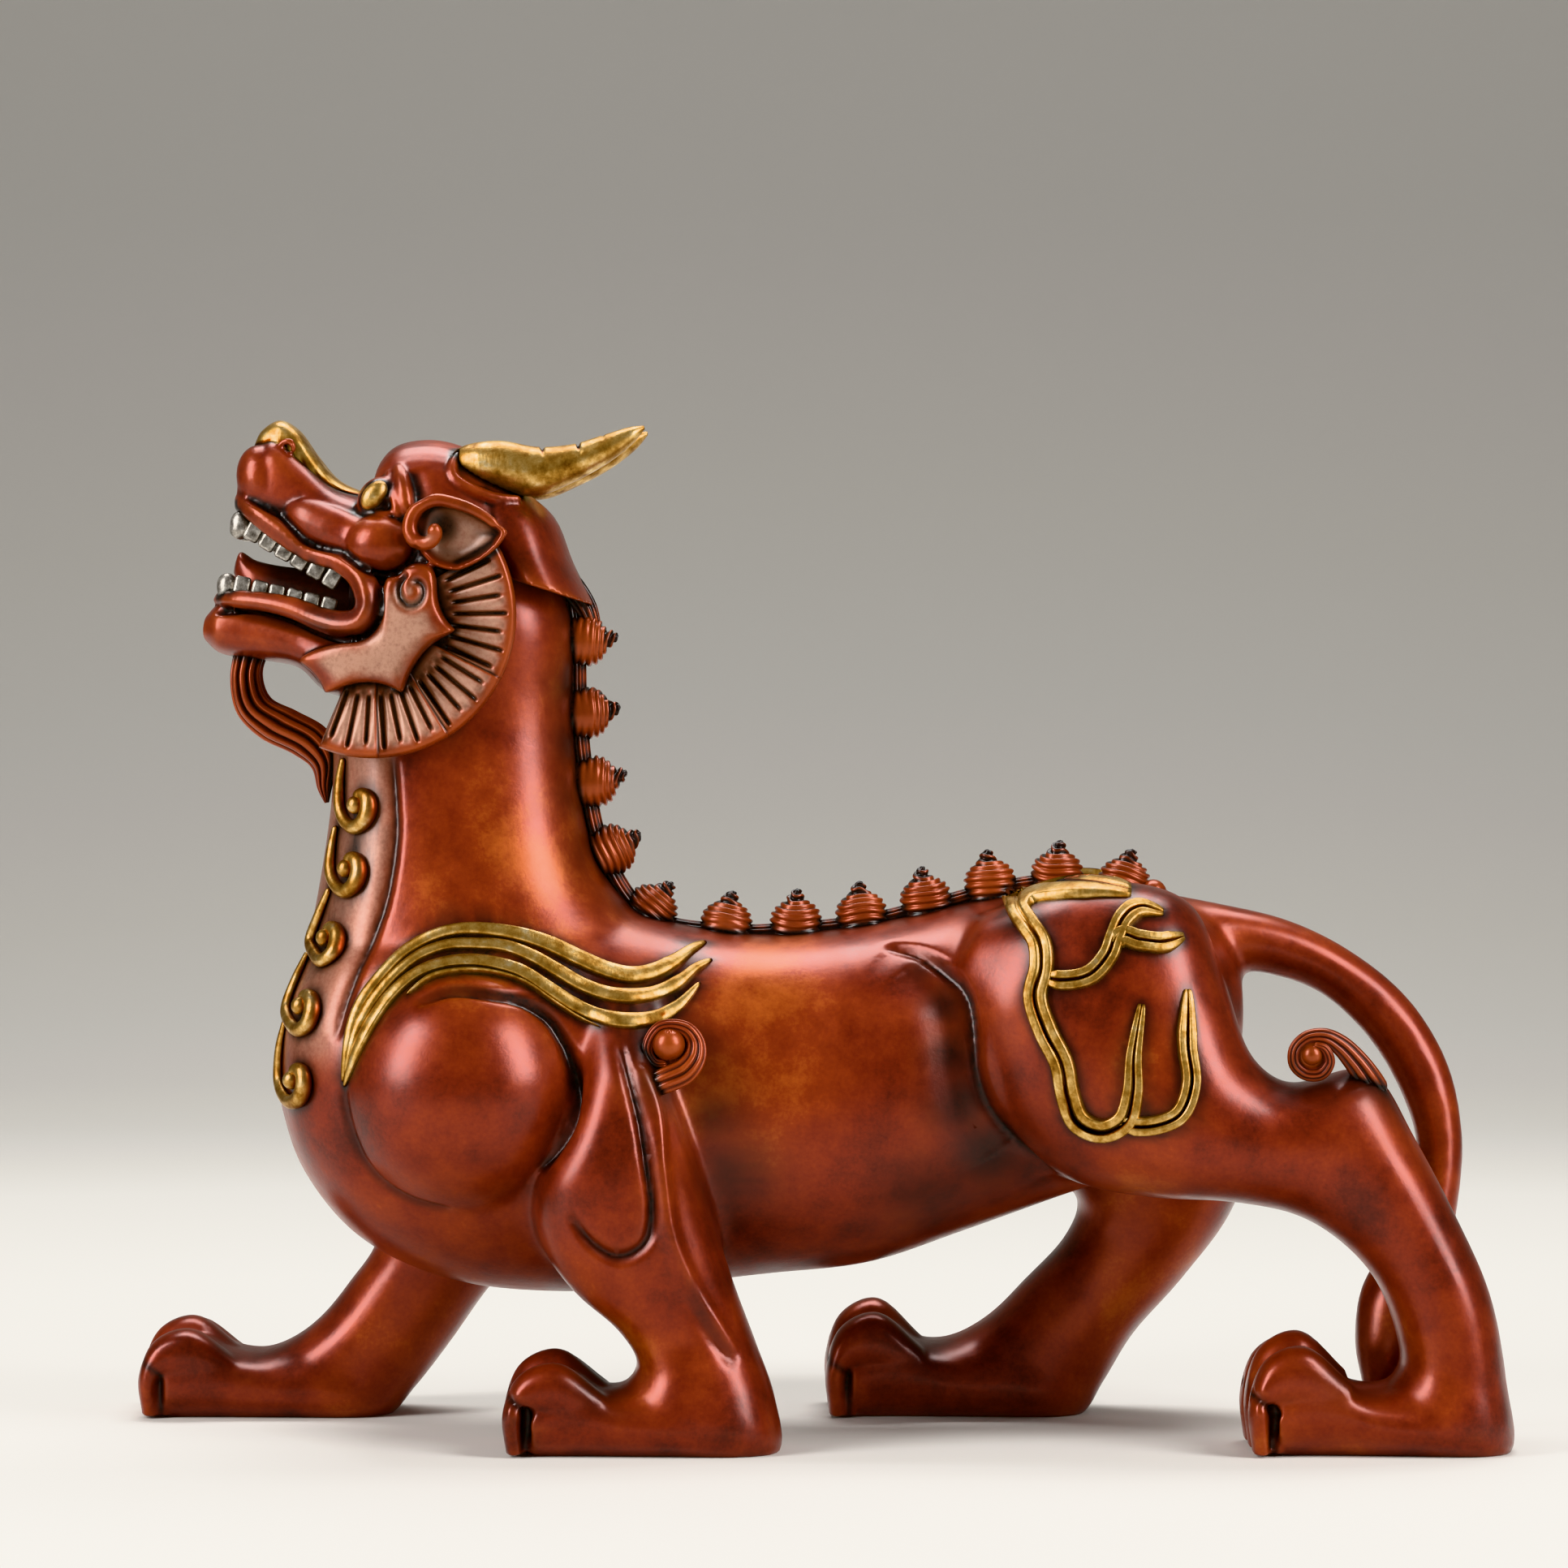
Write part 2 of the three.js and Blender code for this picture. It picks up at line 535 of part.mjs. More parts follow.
// Where a ray from the side at [x, z] meets the skin, with the way the skin faces there.
const skin = new THREE.Mesh(geometryOf(body), new THREE.MeshBasicMaterial({ side: THREE.DoubleSide }));
const ray = new THREE.Raycaster();
function onSkin(x, z, flank) {
  ray.set(new THREE.Vector3(x * UNIT, flank * LENGTH, z * UNIT), new THREE.Vector3(0, -flank, 0));
  const [hit] = ray.intersectObject(skin);
  return hit && { place: hit.point.divideScalar(UNIT), facing: hit.face.normal.clone() };
}

// A raised strip laid on the skin along side-view points [x, z]. Its top is drawn across by
// profile, as [share of the width, share of the rise], and widths tapers it along its length.
const FLAT_TOP = [[-0.42, 1], [0.42, 1]];
function strip(points, flank, { width, steps, profile = FLAT_TOP, taper = () => 1 }) {
  const path = curveThrough(points.map(([x, z]) => [x, 0, z]));
  const stations = [];
  for (let i = 0; i <= steps; i++) {
    const at = path.getPointAt(i / steps);
    stations.push({ ...onSkin(at.x, at.z, flank), tangent: path.getTangentAt(i / steps) });
  }
  const lanes = profile.length - 1;
  return reshape(new THREE.BoxGeometry(1, 1, 1, steps, lanes, 1), (a, b, c) => {
    const i = Math.round((a + 0.5) * steps);
    const lane = Math.round((b + 0.5) * lanes);
    const facing = new THREE.Vector3();
    for (const { facing: next } of stations.slice(Math.max(0, i - 1), i + 2)) facing.add(next);
    facing.normalize();
    const { place, tangent } = stations[i];
    const across = new THREE.Vector3().crossVectors(facing, tangent).normalize();
    const [side, rise] = profile[lane];
    const root = lane === 0 || lane === lanes ? Math.sign(side) * 0.5 : side;
    const offset = (c > 0 ? side : root) * width * taper(i / steps);
    const level = place.clone().addScaledVector(across, offset);
    const base = onSkin(level.x, level.z, flank)?.place ?? level; // past the flank's edge it runs on level
    return base.addScaledVector(facing, c > 0 ? RELIEF_RISE * rise : -RELIEF_ROOT);
  });
}

// Wing over the shoulder: bands side by side with a groove between each two, from one point below
// the chest, over the shoulder ball and back up onto the flank.
const WING = [
  [-59.6, 47.6], [-57.6, 54], [-52.4, 60.6], [-44.4, 64.6], [-36.6, 63.2],
  [-29.6, 60], [-22.6, 58.4], [-17, 60.4], [-13, 62.6],
];
function wing(flank) {
  const whole = BANDS * BAND_WIDTH + (BANDS - 1) * BAND_GAP;
  const profile = [[-0.5, 0.6]];
  for (let k = 0; k < BANDS; k++) {
    const start = k * (BAND_WIDTH + BAND_GAP);
    if (k > 0) profile.push([(start - BAND_GAP / 2) / whole - 0.5, 0.45]);
    profile.push([(start + BAND_WIDTH / 2) / whole - 0.5, 1]);
  }
  profile.push([0.5, 0.6]);
  return strip(WING, flank, { width: whole, steps: 7, profile, taper: (t) => Math.min(1, 0.25 + 2.6 * t) });
}

// Flame motif on the haunch, as three linked strips. The far haunch has the main one alone.
const MOTIF = [
  {
    points: [
      [43.6, 69.8], [38, 70.4], [31, 70], [28.2, 68.6], [30, 65.6], [30.4, 61.6], [29.2, 57.2],
      [31.4, 51.6], [33.2, 45.6], [35.6, 42.6], [38.6, 42.8], [40.6, 46.6], [41, 52], [42.4, 57.6],
    ],
    steps: 13,
  },
  { points: [[40.8, 44.6], [42.8, 43], [45.6, 43], [47.6, 46], [47.6, 53], [47.4, 60.4]], steps: 5 },
  { points: [[30.4, 62], [35, 61.4], [38, 64.2], [40.2, 67], [47.4, 66.2]], steps: 4 },
];
function motif(flank) {
  const strokes = flank === NEAR ? MOTIF : MOTIF.slice(0, 1);
  return strokes.map(({ points, steps }) => strip(points, flank, { width: MOTIF_WIDTH, steps }));
}

// Chest plate: an edging down each side of the chest, with a row of curls inside it.
const CHEST_EDGE = [[-61.4, 89], [-61.6, 82], [-62.8, 73.4], [-65, 64.6], [-67.2, 56], [-68, 47]];
const SCROLLS = [[-58.8, 82.8], [-60, 74.3], [-62.7, 65.1], [-65.3, 56.3], [-66.3, 47.1]];
const SCROLL_PROFILE = [
  [0, -RELIEF_ROOT], [SCROLL_SIZE, -RELIEF_ROOT], [SCROLL_SIZE * 0.8, RELIEF_RISE], [0, RELIEF_RISE * 1.7],
];
function chest(flank) {
  const curlsOfChest = SCROLLS.map(([x, z]) => {
    const { place } = onSkin(x, z, flank);
    return turned(SCROLL_PROFILE, [x, place.y, z], [0, flank, 0], 5);
  });
  return [strip(CHEST_EDGE, flank, { width: SCROLL_WIDTH, steps: 5 }), ...curlsOfChest];
}

const headParts = [
  skull, muzzle, jaw, noseRidge, tongue, cape, beard,
  ...FLANKS.flatMap((flank) => [
    lip(flank), ...teeth(flank), ...cheeks(flank), cheekPlate(flank), fan(flank), ...ear(flank), horn(flank),
  ]),
];

const relief = FLANKS.flatMap((flank) => [wing(flank), ...motif(flank), ...chest(flank)]);

const whole = join([body, tail, ...feet, ...headParts, ...knots, ...curls, ...relief]);

// The soles are cut flat on z = 0.
const roomy = 2 * LENGTH;
const groundBlock = new THREE.BoxGeometry(roomy, roomy, roomy);
const aboveGround = reshape(groundBlock, (x, y, z) => ({ x, y, z: z + roomy / 2 }));
const qilinShape = geometryOf(whole.intersect(aboveGround));

// The origin is the middle of the box that the figure fills, on the ground.
qilinShape.computeBoundingBox();
const middle = qilinShape.boundingBox.getCenter(new THREE.Vector3());
qilinShape.translate(-middle.x, -middle.y, -qilinShape.boundingBox.min.z);

const patinated = new THREE.MeshStandardMaterial({ color: 0x8a4a2c, roughness: 0.42, metalness: 0.7 });
const qilin = new THREE.Mesh(qilinShape, patinated);
qilin.name = "qilin";

const figure = new THREE.Group();
figure.add(qilin);

export default figure;
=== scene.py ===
"""A cast qilin figure: a horned guardian beast striding with its head up and its jaws open.

The forms repeat the numbers of the solid, in millimetres, and are then cast into one skin, carved
and dressed. The near flank is towards -Y and the figure faces -X.
"""

import math

import bmesh
import bpy
import numpy as np
from mathutils import Matrix, Vector
from mathutils.bvhtree import BVHTree


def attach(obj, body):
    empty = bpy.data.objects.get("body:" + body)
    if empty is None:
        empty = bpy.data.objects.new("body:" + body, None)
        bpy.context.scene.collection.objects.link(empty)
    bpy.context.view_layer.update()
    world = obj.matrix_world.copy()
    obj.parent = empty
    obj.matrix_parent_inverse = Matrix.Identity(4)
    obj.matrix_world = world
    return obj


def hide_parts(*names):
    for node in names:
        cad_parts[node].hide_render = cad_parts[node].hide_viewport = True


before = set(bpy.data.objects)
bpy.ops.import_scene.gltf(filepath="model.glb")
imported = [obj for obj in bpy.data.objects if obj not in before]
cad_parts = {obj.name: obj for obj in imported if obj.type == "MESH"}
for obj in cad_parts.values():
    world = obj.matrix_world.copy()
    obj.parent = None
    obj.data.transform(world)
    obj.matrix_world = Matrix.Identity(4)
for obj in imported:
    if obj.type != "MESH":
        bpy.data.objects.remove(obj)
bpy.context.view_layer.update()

MM = 0.001
NEAR = -1
FAR = 1
FLANKS = (NEAR, FAR)
BODY = "root"
BRONZE = "patinated_bronze"
GILT = "fire_gilding"
SILVER = "tarnished_silver"
MARKS = ("wax", "worn", "pale", "rubbed")
MOST_TRIANGLES = 190000

# A ray from the side starts well clear of the figure. Where it misses, the skin nearest to a place
# this far from the middle is taken.
RAY_START = 100.0
MISSED_SIDE = 12.0

# Camera, from the photograph: its frame in pixels, the lens in the same pixels, and its place.
PHOTO_SIDE = 1932
LENS_PIXELS = 6779
SENSOR = 36.0
CAMERA_PLACE = Vector((-3.26, -726.0, 98.0))
CAMERA_DIP = 1.0

camera_data = bpy.data.cameras.new("camera")
camera_data.sensor_width = SENSOR
camera_data.lens = LENS_PIXELS / PHOTO_SIDE * SENSOR
camera_data.clip_start = 0.01
camera = bpy.data.objects.new("camera", camera_data)
camera.location = CAMERA_PLACE * MM
camera.rotation_euler = (math.radians(90 - CAMERA_DIP), 0, 0)
bpy.context.scene.collection.objects.link(camera)
bpy.context.scene.camera = camera


# Meshes

def link(mesh, name):
    piece = bpy.data.objects.new(name, mesh)
    bpy.context.scene.collection.objects.link(piece)
    return piece


def read_corners(mesh, key):
    values = np.empty(len(mesh.vertices) * 3, np.float32)
    mesh.vertices.foreach_get(key, values)
    return values.reshape(-1, 3).astype(float)


def corners(mesh):
    return read_corners(mesh, "co")


def facings(mesh):
    return read_corners(mesh, "normal")


def place_corners(mesh, places):
    mesh.vertices.foreach_set("co", places.astype(np.float32).ravel())
    mesh.update()


def travelled(path):
    """How far along a path each of its points lies."""
    return np.concatenate([[0], np.cumsum(np.linalg.norm(np.diff(path, axis=0), axis=1))])


def unit(ways):
    return ways / np.linalg.norm(ways, axis=1)[:, None]


def rise(values, start, span):
    """0 up to a start, then evenly up to 1 over a span."""
    return np.clip((values - start) / span, 0, 1)


def quarter_round(share):
    """From 0 to 1 as the side of a quarter circle rises."""
    return np.sqrt(share * (2 - share))


def spline(points, shares):
    """Places at shares 0 to 1 along a smooth curve through points of any number of columns."""
    points = np.asarray(points, float)
    points = np.vstack([2 * points[0] - points[1], points, 2 * points[-1] - points[-2]])
    spans = len(points) - 3
    at = np.clip(np.asarray(shares, float), 0, 1) * spans
    first = np.minimum(at.astype(int), spans - 1)
    weight = (at - first)[:, None]
    p0, p1, p2, p3 = (points[first + k] for k in range(4))
    gaps = np.maximum(np.linalg.norm(np.diff(points, axis=0), axis=1) ** 0.5, 1e-6)
    d0, d1, d2 = (gaps[first + k][:, None] for k in range(3))
    start = ((p1 - p0) / d0 - (p2 - p0) / (d0 + d1) + (p2 - p1) / d1) * d1
    end = ((p2 - p1) / d1 - (p3 - p1) / (d1 + d2) + (p3 - p2) / d2) * d1
    cube = 2 * (p1 - p2) + start + end
    square = 3 * (p2 - p1) - 2 * start - end
    return ((cube * weight + square) * weight + start) * weight + p1


def along(points, count):
    """Places an even way apart along the smooth curve through points."""
    fine = spline(points, np.linspace(0, 1, 24 * len(points)))
    travel = travelled(fine)
    wanted = np.linspace(0, travel[-1], count)
    return np.stack([np.interp(wanted, travel, column) for column in fine.T], axis=1)


def tube(sides, rings):
    """A closed unit tube along Z from 0 to 1, with its corners as an array to be moved."""
    shape = bmesh.new()
    bmesh.ops.create_cone(
        shape, cap_ends=True, cap_tris=False, segments=sides, radius1=1, radius2=1, depth=1
    )
    rungs = [e for e in shape.edges if abs(e.verts[0].co.z - e.verts[1].co.z) > 0.5]
    bmesh.ops.subdivide_edges(shape, edges=rungs, cuts=rings - 1, use_grid_fill=True)
    places = np.array([v.co for v in shape.verts])
    return shape, np.arctan2(places[:, 1], places[:, 0]), np.clip(places[:, 2] + 0.5, 0, 1)


def settle(shape, places):
    """Moves every corner of a shape, in millimetres, and turns its faces outwards."""
    for corner, place in zip(shape.verts, places * MM):
        corner.co = place
    bmesh.ops.recalc_face_normals(shape, faces=shape.faces)
    if shape.calc_volume(signed=True) < 0:
        bmesh.ops.reverse_faces(shape, faces=shape.faces)
    for face in shape.faces:
        face.smooth = True
    return shape


def rounded(angle, square):
    """Corners of a rounded section: square 2 is an ellipse, more is fuller."""
    c, s = np.cos(angle), np.sin(angle)
    return np.sign(c) * np.abs(c) ** (2 / square), np.sign(s) * np.abs(s) ** (2 / square)


def ribbed(ribs, flank=1, sides=40, square=2.2, fine=5, locks=0, lock_depth=0.0):
    """A limb drawn as ribs [a.x, a.z, b.x, b.z, y of its middle, half its width], and fluted
    along its length where it is made of locks of hair."""
    ribs = np.asarray(ribs, float)
    shape, angle, share = tube(sides, fine * (len(ribs) - 1))
    first = spline(ribs[:, 0:2], share)
    second = spline(ribs[:, 2:4], share)
    across = spline(ribs[:, 4:6], share)
    run, out = rounded(angle, square)
    if locks:
        flute = 1 - lock_depth * np.abs(np.cos(locks * angle / 2)) ** 6
        run, out = run * flute, out * flute
    side = (first + second) / 2 + (first - second) / 2 * run[:, None]
    y = flank * (across[:, 0] + across[:, 1] * out)
    return settle(shape, np.stack([side[:, 0], y, side[:, 1]], axis=1))


def bar(points, radii, sides=16, steps=48, square=2.0, locks=0, lock_depth=0.0):
    """A tapering bar along points [x, y, z], with one radius for each point and round ends."""
    points = np.asarray(points, float)
    radii = np.asarray(radii, float)
    table = along(np.column_stack([points, radii]), steps + 1)
    path, girth = table[:, :3], table[:, 3]
    travel = travelled(path)
    inside = np.clip(np.minimum(travel, travel[-1] - travel) / girth, 0.0004, 1)
    girth = girth * quarter_round(inside)
    tangent = unit(np.gradient(path, axis=0))
    side = np.cross(tangent[0], [0.0, 1.0, 0.0])
    if np.linalg.norm(side) < 0.2:
        side = np.cross(tangent[0], [1.0, 0.0, 0.0])
    sides_of, ups = [], []
    for way in tangent:
        side = side - way * side.dot(way)
        side = side / np.linalg.norm(side)
        sides_of.append(side)
        ups.append(np.cross(way, side))
    shape, angle, share = tube(sides, steps)
    ring = np.rint(share * steps).astype(int)
    a, b = rounded(angle, square)
    flute = 1 - lock_depth * np.abs(np.cos(locks * angle / 2)) ** 6
    across = np.array(sides_of)[ring] * (a * girth[ring] * flute)[:, None]
    up = np.array(ups)[ring] * (b * girth[ring] * flute)[:, None]
    return settle(shape, path[ring] + across + up)


def ball(centre, radii, turn=0.0, flank=1, fine=24):
    """A ball or egg, turned in the side view, on one flank."""
    shape = bmesh.new()
    bmesh.ops.create_uvsphere(shape, u_segments=fine, v_segments=fine // 2, radius=1)
    places = np.array([v.co for v in shape.verts]) * np.asarray(radii, float)
    c, s = math.cos(turn), math.sin(turn)
    x, y, z = places.T
    turned = np.stack([x * c - z * s, y, x * s + z * c], axis=1)
    return settle(shape, turned + np.asarray(centre, float) * (1, flank, 1))


def domed(outline, centre, levels, flank, lean=(0.0, 0.0), sides=120):
    """A plate seen from the side. Levels are [share of the outline, y], from the middle outwards
    and over the edge, and lean is how y grows along X and Z."""
    levels = np.asarray(levels, float)
    shape, angle, share = tube(sides, 4 * (len(levels) - 1))
    loop = np.asarray(outline, float) - centre
    bearing = np.unwrap(np.arctan2(loop[:, 1], loop[:, 0]))
    if bearing[-1] < bearing[0]:
        loop, bearing = loop[::-1], bearing[::-1]
    bearings = np.concatenate([bearing - 2 * np.pi, bearing, bearing + 2 * np.pi])
    edge = np.stack([np.interp(angle, bearings, np.tile(column, 3)) for column in loop.T], axis=1)
    level = spline(levels, share)
    spread = edge * np.maximum(level[:, 0], 0.01)[:, None]
    y = level[:, 1] + spread @ np.asarray(lean, float)
    x, z = (spread + centre).T
    return settle(shape, np.stack([x, flank * y, z], axis=1))


def outline_of(tips, count=10):
    """A closed outline of [corner, pull] pairs: each side runs to the next corner, drawn to its pull."""
    points = []
    for i, (corner, pull) in enumerate(tips):
        end = np.array(tips[(i + 1) % len(tips)][0], float)
        start, pull = np.array(corner, float), np.array(pull, float)
        for t in np.linspace(0, 1, count, endpoint=False):
            points.append(start * (1 - t) ** 2 + pull * 2 * t * (1 - t) + end * t * t)
    return np.array(points)


def gathered(shapes, name):
    """Several shapes as one mesh."""
    whole = bmesh.new()
    for shape in shapes:
        part = bpy.data.meshes.new("part")
        shape.to_mesh(part)
        shape.free()
        whole.from_mesh(part)
        bpy.data.meshes.remove(part)
    mesh = bpy.data.meshes.new(name)
    whole.to_mesh(mesh)
    whole.free()
    return mesh


def applied(mesh, name, modifiers):
    """The mesh after a stack of modifiers, given as [kind, settings]."""
    piece = link(mesh, name)
    for kind, settings in modifiers:
        modifier = piece.modifiers.new(kind.lower(), kind)
        for key, value in settings.items():
            setattr(modifier, key, value)
    ready = piece.evaluated_get(bpy.context.evaluated_depsgraph_get())
    result = bpy.data.meshes.new_from_object(ready)
    bpy.data.objects.remove(piece)
    bpy.data.meshes.remove(mesh)
    result.name = name
    return result


def cast(shapes, name, voxel, smooth):
    """Overlapping closed shapes flow together into one skin, as wax does before it is cast."""
    grain = voxel * 1.0
    return applied(gathered(shapes, name), name, [
        ("REMESH", {"mode": "VOXEL", "voxel_size": grain * MM, "use_smooth_shade": True}),
        ("SMOOTH", {"factor": 0.5, "iterations": smooth}),
    ])


def thinned(mesh):
    """The same skin with at most so many triangles as a piece may have, kept where the form bends."""
    count = sum(len(p.vertices) - 2 for p in mesh.polygons)
    if count <= MOST_TRIANGLES:
        return mesh
    return applied(mesh, mesh.name, [("DECIMATE", {"ratio": MOST_TRIANGLES / count})])


def relaxed(mesh, places, rounds, share):
    """Places after each corner has moved by a share towards the middle of its neighbours, in rounds."""
    ends = np.empty(len(mesh.edges) * 2, np.int32)
    mesh.edges.foreach_get("vertices", ends)
    start, end = ends.reshape(-1, 2).T
    count = len(places)
    degree = np.maximum(np.bincount(start, minlength=count) + np.bincount(end, minlength=count), 1)
    places = places.copy()
    for _ in range(rounds):
        for axis in range(places.shape[1]):
            column = places[:, axis]
            total = np.bincount(start, column[end], count) + np.bincount(end, column[start], count)
            places[:, axis] = column + share * (total / degree - column)
    return places


def relax(mesh, rounds, share):
    place_corners(mesh, relaxed(mesh, corners(mesh), rounds, share))


def tree_of(mesh):
    places = [v.co.copy() for v in mesh.vertices]
    return BVHTree.FromPolygons(places, [tuple(p.vertices) for p in mesh.polygons])


def on_skin(skin, x, z, flank):
    """Where a ray from the side meets a skin, in millimetres, and the way that the skin faces."""
    start = Vector((x, flank * RAY_START, z)) * MM
    place, facing, _, _ = skin.ray_cast(start, Vector((0, -flank, 0)))
    if place is None:
        place, facing, _, _ = skin.find_nearest(Vector((x, flank * MISSED_SIDE, z)) * MM)
    return np.array(place) / MM, np.array(facing)


def stroke(path, depth, width, flank=NEAR, lift=0, reach=0, tail=0.12, wax=1.0):
    """A line to be carved, drawn in the side view on one flank: a groove of a depth and a half
    width, or a ridge where its depth is less than nothing. Lift raises the skin to the right of its
    run over a reach. It fades out over a tail at each end, and wax is how black its bottom gets."""
    return {"path": path, "depth": depth, "width": width, "flank": flank, "lift": lift,
            "reach": reach, "tail": tail, "wax": wax}


def mirrored(strokes):
    """The same strokes on the far flank."""
    return [{**line, "flank": FAR} for line in strokes]


def carve(mesh, strokes):
    """Cuts the grooves and raises the ridges of all strokes."""
    skin = tree_of(mesh)
    places = corners(mesh) / MM
    ways = relaxed(mesh, facings(mesh), 5, 0.9)
    ways /= np.maximum(np.linalg.norm(ways, axis=1), 0.2)[:, None]
    moved = np.zeros(len(places))
    for stroke in strokes:
        flank = stroke["flank"]
        run = along(stroke["path"], max(8, 8 * len(stroke["path"])))
        line = np.array([on_skin(skin, x, z, flank)[0] for x, z in run])
        width = stroke["width"]
        reach = max(3.2 * width, 2.2 * stroke["reach"])
        low, high = line.min(0) - reach, line.max(0) + reach
        nearby = np.all((places > low) & (places < high), axis=1) & (ways[:, 1] * flank > -0.3)
        chosen = np.flatnonzero(nearby)
        if not len(chosen):
            continue
        gaps = np.linalg.norm(places[chosen][:, None, :] - line[None], axis=2)
        nearest = gaps.argmin(1)
        gap = gaps[np.arange(len(chosen)), nearest]
        share = nearest / (len(line) - 1)
        tail = stroke["tail"]
        fade = rise(np.minimum(share, 1 - share), 0, tail) if tail else np.ones(len(share))
        fade = quarter_round(fade)
        groove = -stroke["depth"] * np.exp(-((gap / width) ** 2))
        if stroke["lift"]:
            step = np.gradient(line, axis=0)[nearest]
            away = places[chosen] - line[nearest]
            hand = np.sign(step[:, 2] * away[:, 0] - step[:, 0] * away[:, 2])
            side = np.clip(hand * gap / width, 0, 1)
            groove = groove + stroke["lift"] * side * np.exp(-((gap / stroke["reach"]) ** 2))
        moved[chosen] += groove * fade
    moved = relaxed(mesh, moved[:, None], 2, 0.8)
    place_corners(mesh, (places + ways * moved) * MM)
    return mesh


def laid(path, flank, skin, width, thickness, crown, taper, steps=110, sides=44, sink=0.9):
    """A strip of metal inlaid on the skin along a path in the side view. Its top is drawn across
    by crown, from -1 to 1, and its width and thickness follow taper, from 0 to 1 along it."""
    run = along(path, steps + 1)
    tangent = unit(np.gradient(run, axis=0))
    facing = np.array([on_skin(skin, x, z, flank)[1] for x, z in run])
    near = np.ones(9) / 9
    facing = [np.convolve(np.pad(column, 4, mode="edge"), near, "valid") for column in facing.T]
    facing = unit(np.stack(facing, axis=1))
    shape, angle, share = tube(sides, steps)
    ring = np.rint(share * steps).astype(int)
    even = 1 - 2 * np.abs(angle) / np.pi
    u = 0.7 * even + 0.3 * np.cos(angle)
    size, lift = taper(share)
    offset = u * size * width / 2
    side = run[ring] + np.stack([-tangent[ring, 1], tangent[ring, 0]], axis=1) * offset[:, None]
    base = np.array([on_skin(skin, x, z, flank)[0] for x, z in side])
    height = np.where(angle > 0, thickness * lift * crown(u), -sink)
    return settle(shape, base + facing[ring] * height[:, None])


# Forms of the solid, with its numbers

LEG_SPREAD = 19
FOOT_WIDTH = 20
FORE_FOOT_HEIGHT = 13
HIND_FOOT_HEIGHT = 15.4
TOES = 3
CLAW_REACH = 3.6
CLAW_SLOT = 0.8
# A web closes the slots behind the claws, so that they are creases as deep as on the real foot.
WEB_FRONT = 1.5
WEB_HEIGHT = 7.0
WEB_HALF_WIDTH = 8.4

TORSO = [
    [-69.6, 50, -69.6, 43, 0, 5],
    [-67.5, 60, -66.5, 34.5, 0, 14],
    [-61, 68, -59, 25.5, 0, 20],
    [-50, 72, -47, 20, 0, 22.5],
    [-36, 73, -32, 18.4, 0, 22],
    [-21, 68, -18, 19.4, 0, 20],
    [-7, 65.6, -5, 20.8, 0, 20.3],
    [8, 67, 8, 22.3, 0, 21],
    [22, 70, 20, 26.3, 0, 21],
    [35, 72, 33, 31, 0, 20.5],
    [45, 71, 44, 35, 0, 18.5],
    [52.5, 68, 52, 42, 0, 14.5],
    [57, 61, 57, 50, 0, 7],
]
NECK = [
    [-69, 50, -12, 60, 0, 18],
    [-66.8, 61, -21.5, 67.5, 0, 17],
    [-64.6, 72, -27.5, 74.5, 0, 14.5],
    [-62.9, 84, -30.3, 86, 0, 12.6],
    [-62.5, 95, -31, 97, 0, 12],
    [-58, 106, -31, 106, 0, 12],
    [-54, 116, -34, 116, 0, 10],
]
HALF_FOOT = FOOT_WIDTH / 2


def on_foot(rows):
    """The ribs of a foot, which is a little slimmer at its ankle and at its toes."""
    shares = [0.92] + [1] * (len(rows) - 2) + [0.96]
    return [[*row, LEG_SPREAD, HALF_FOOT * share] for row, share in zip(rows, shares)]


NEAR_FORE_LEG = [
    [-30, 60, -19, 59, 12, 6],
    [-29.8, 47, -18.3, 48.5, 17.5, 9],
    [-31.8, 41, -16.6, 43.6, 18.4, 9.3],
    [-35.2, 34, -14.6, 37.6, 19, 9.4],
    [-34.8, 27, -11.8, 28, 19, 9.2],
    [-30.5, 20.6, -9.4, 20.5, 18.6, 8.8],
    [-24.6, 15.4, -6.8, 13.5, 18.4, 8.7],
] + on_foot([
    [-22.2, 11.4, -4.4, 6.5],
    [-23.6, 8.8, -4, -0.5],
    [-26.8, 8.4, -17, -1],
    [-30.6, 11, -29, -1],
    [-35.6, 9.6, -35.6, -1],
])
FAR_FORE_LEG = [
    [-61, 40, -33, 38, 14, 7],
    [-58, 24.5, -38.5, 22.5, 17.5, 9],
    [-62.2, 17.5, -43.5, 16.5, 18.4, 8.8],
    [-66.5, 12.4, -48.8, 9, 18.8, 9],
] + on_foot([
    [-70.5, 9.6, -53.5, 3],
    [-74, 8.5, -57, -0.6],
    [-78, 9, -69, -1],
    [-81.6, 11, -80, -1],
    [-86.4, 9.6, -86.4, -1],
])
HIP = [
    [17, 57, 22, 68.5, 11, 7],
    [21, 50, 35, 73, 13, 11],
    [25.4, 40.5, 49, 70.6, 14.5, 12.8],
]
NEAR_HIND_LEG = HIP + [
    [33.5, 34.4, 53.8, 60, 15, 13],
    [44.4, 32.2, 57.2, 50.4, 16, 12.2],
    [54, 31.8, 62, 47, 17, 11],
    [63, 30, 72, 49, 18, 10],
    [69, 26.2, 78, 40, 18.5, 9.2],
    [73, 21.6, 83, 30.5, 18.8, 8.8],
    [75.4, 15.6, 87.4, 20.5, 19, 8.8],
] + on_foot([
    [76, 11, 89.6, 9],
    [74.2, 8.8, 90, -0.5],
    [69.4, 9, 77, -1],
    [64.6, 13, 66, -1],
    [59.6, 11, 59.6, -1],
])
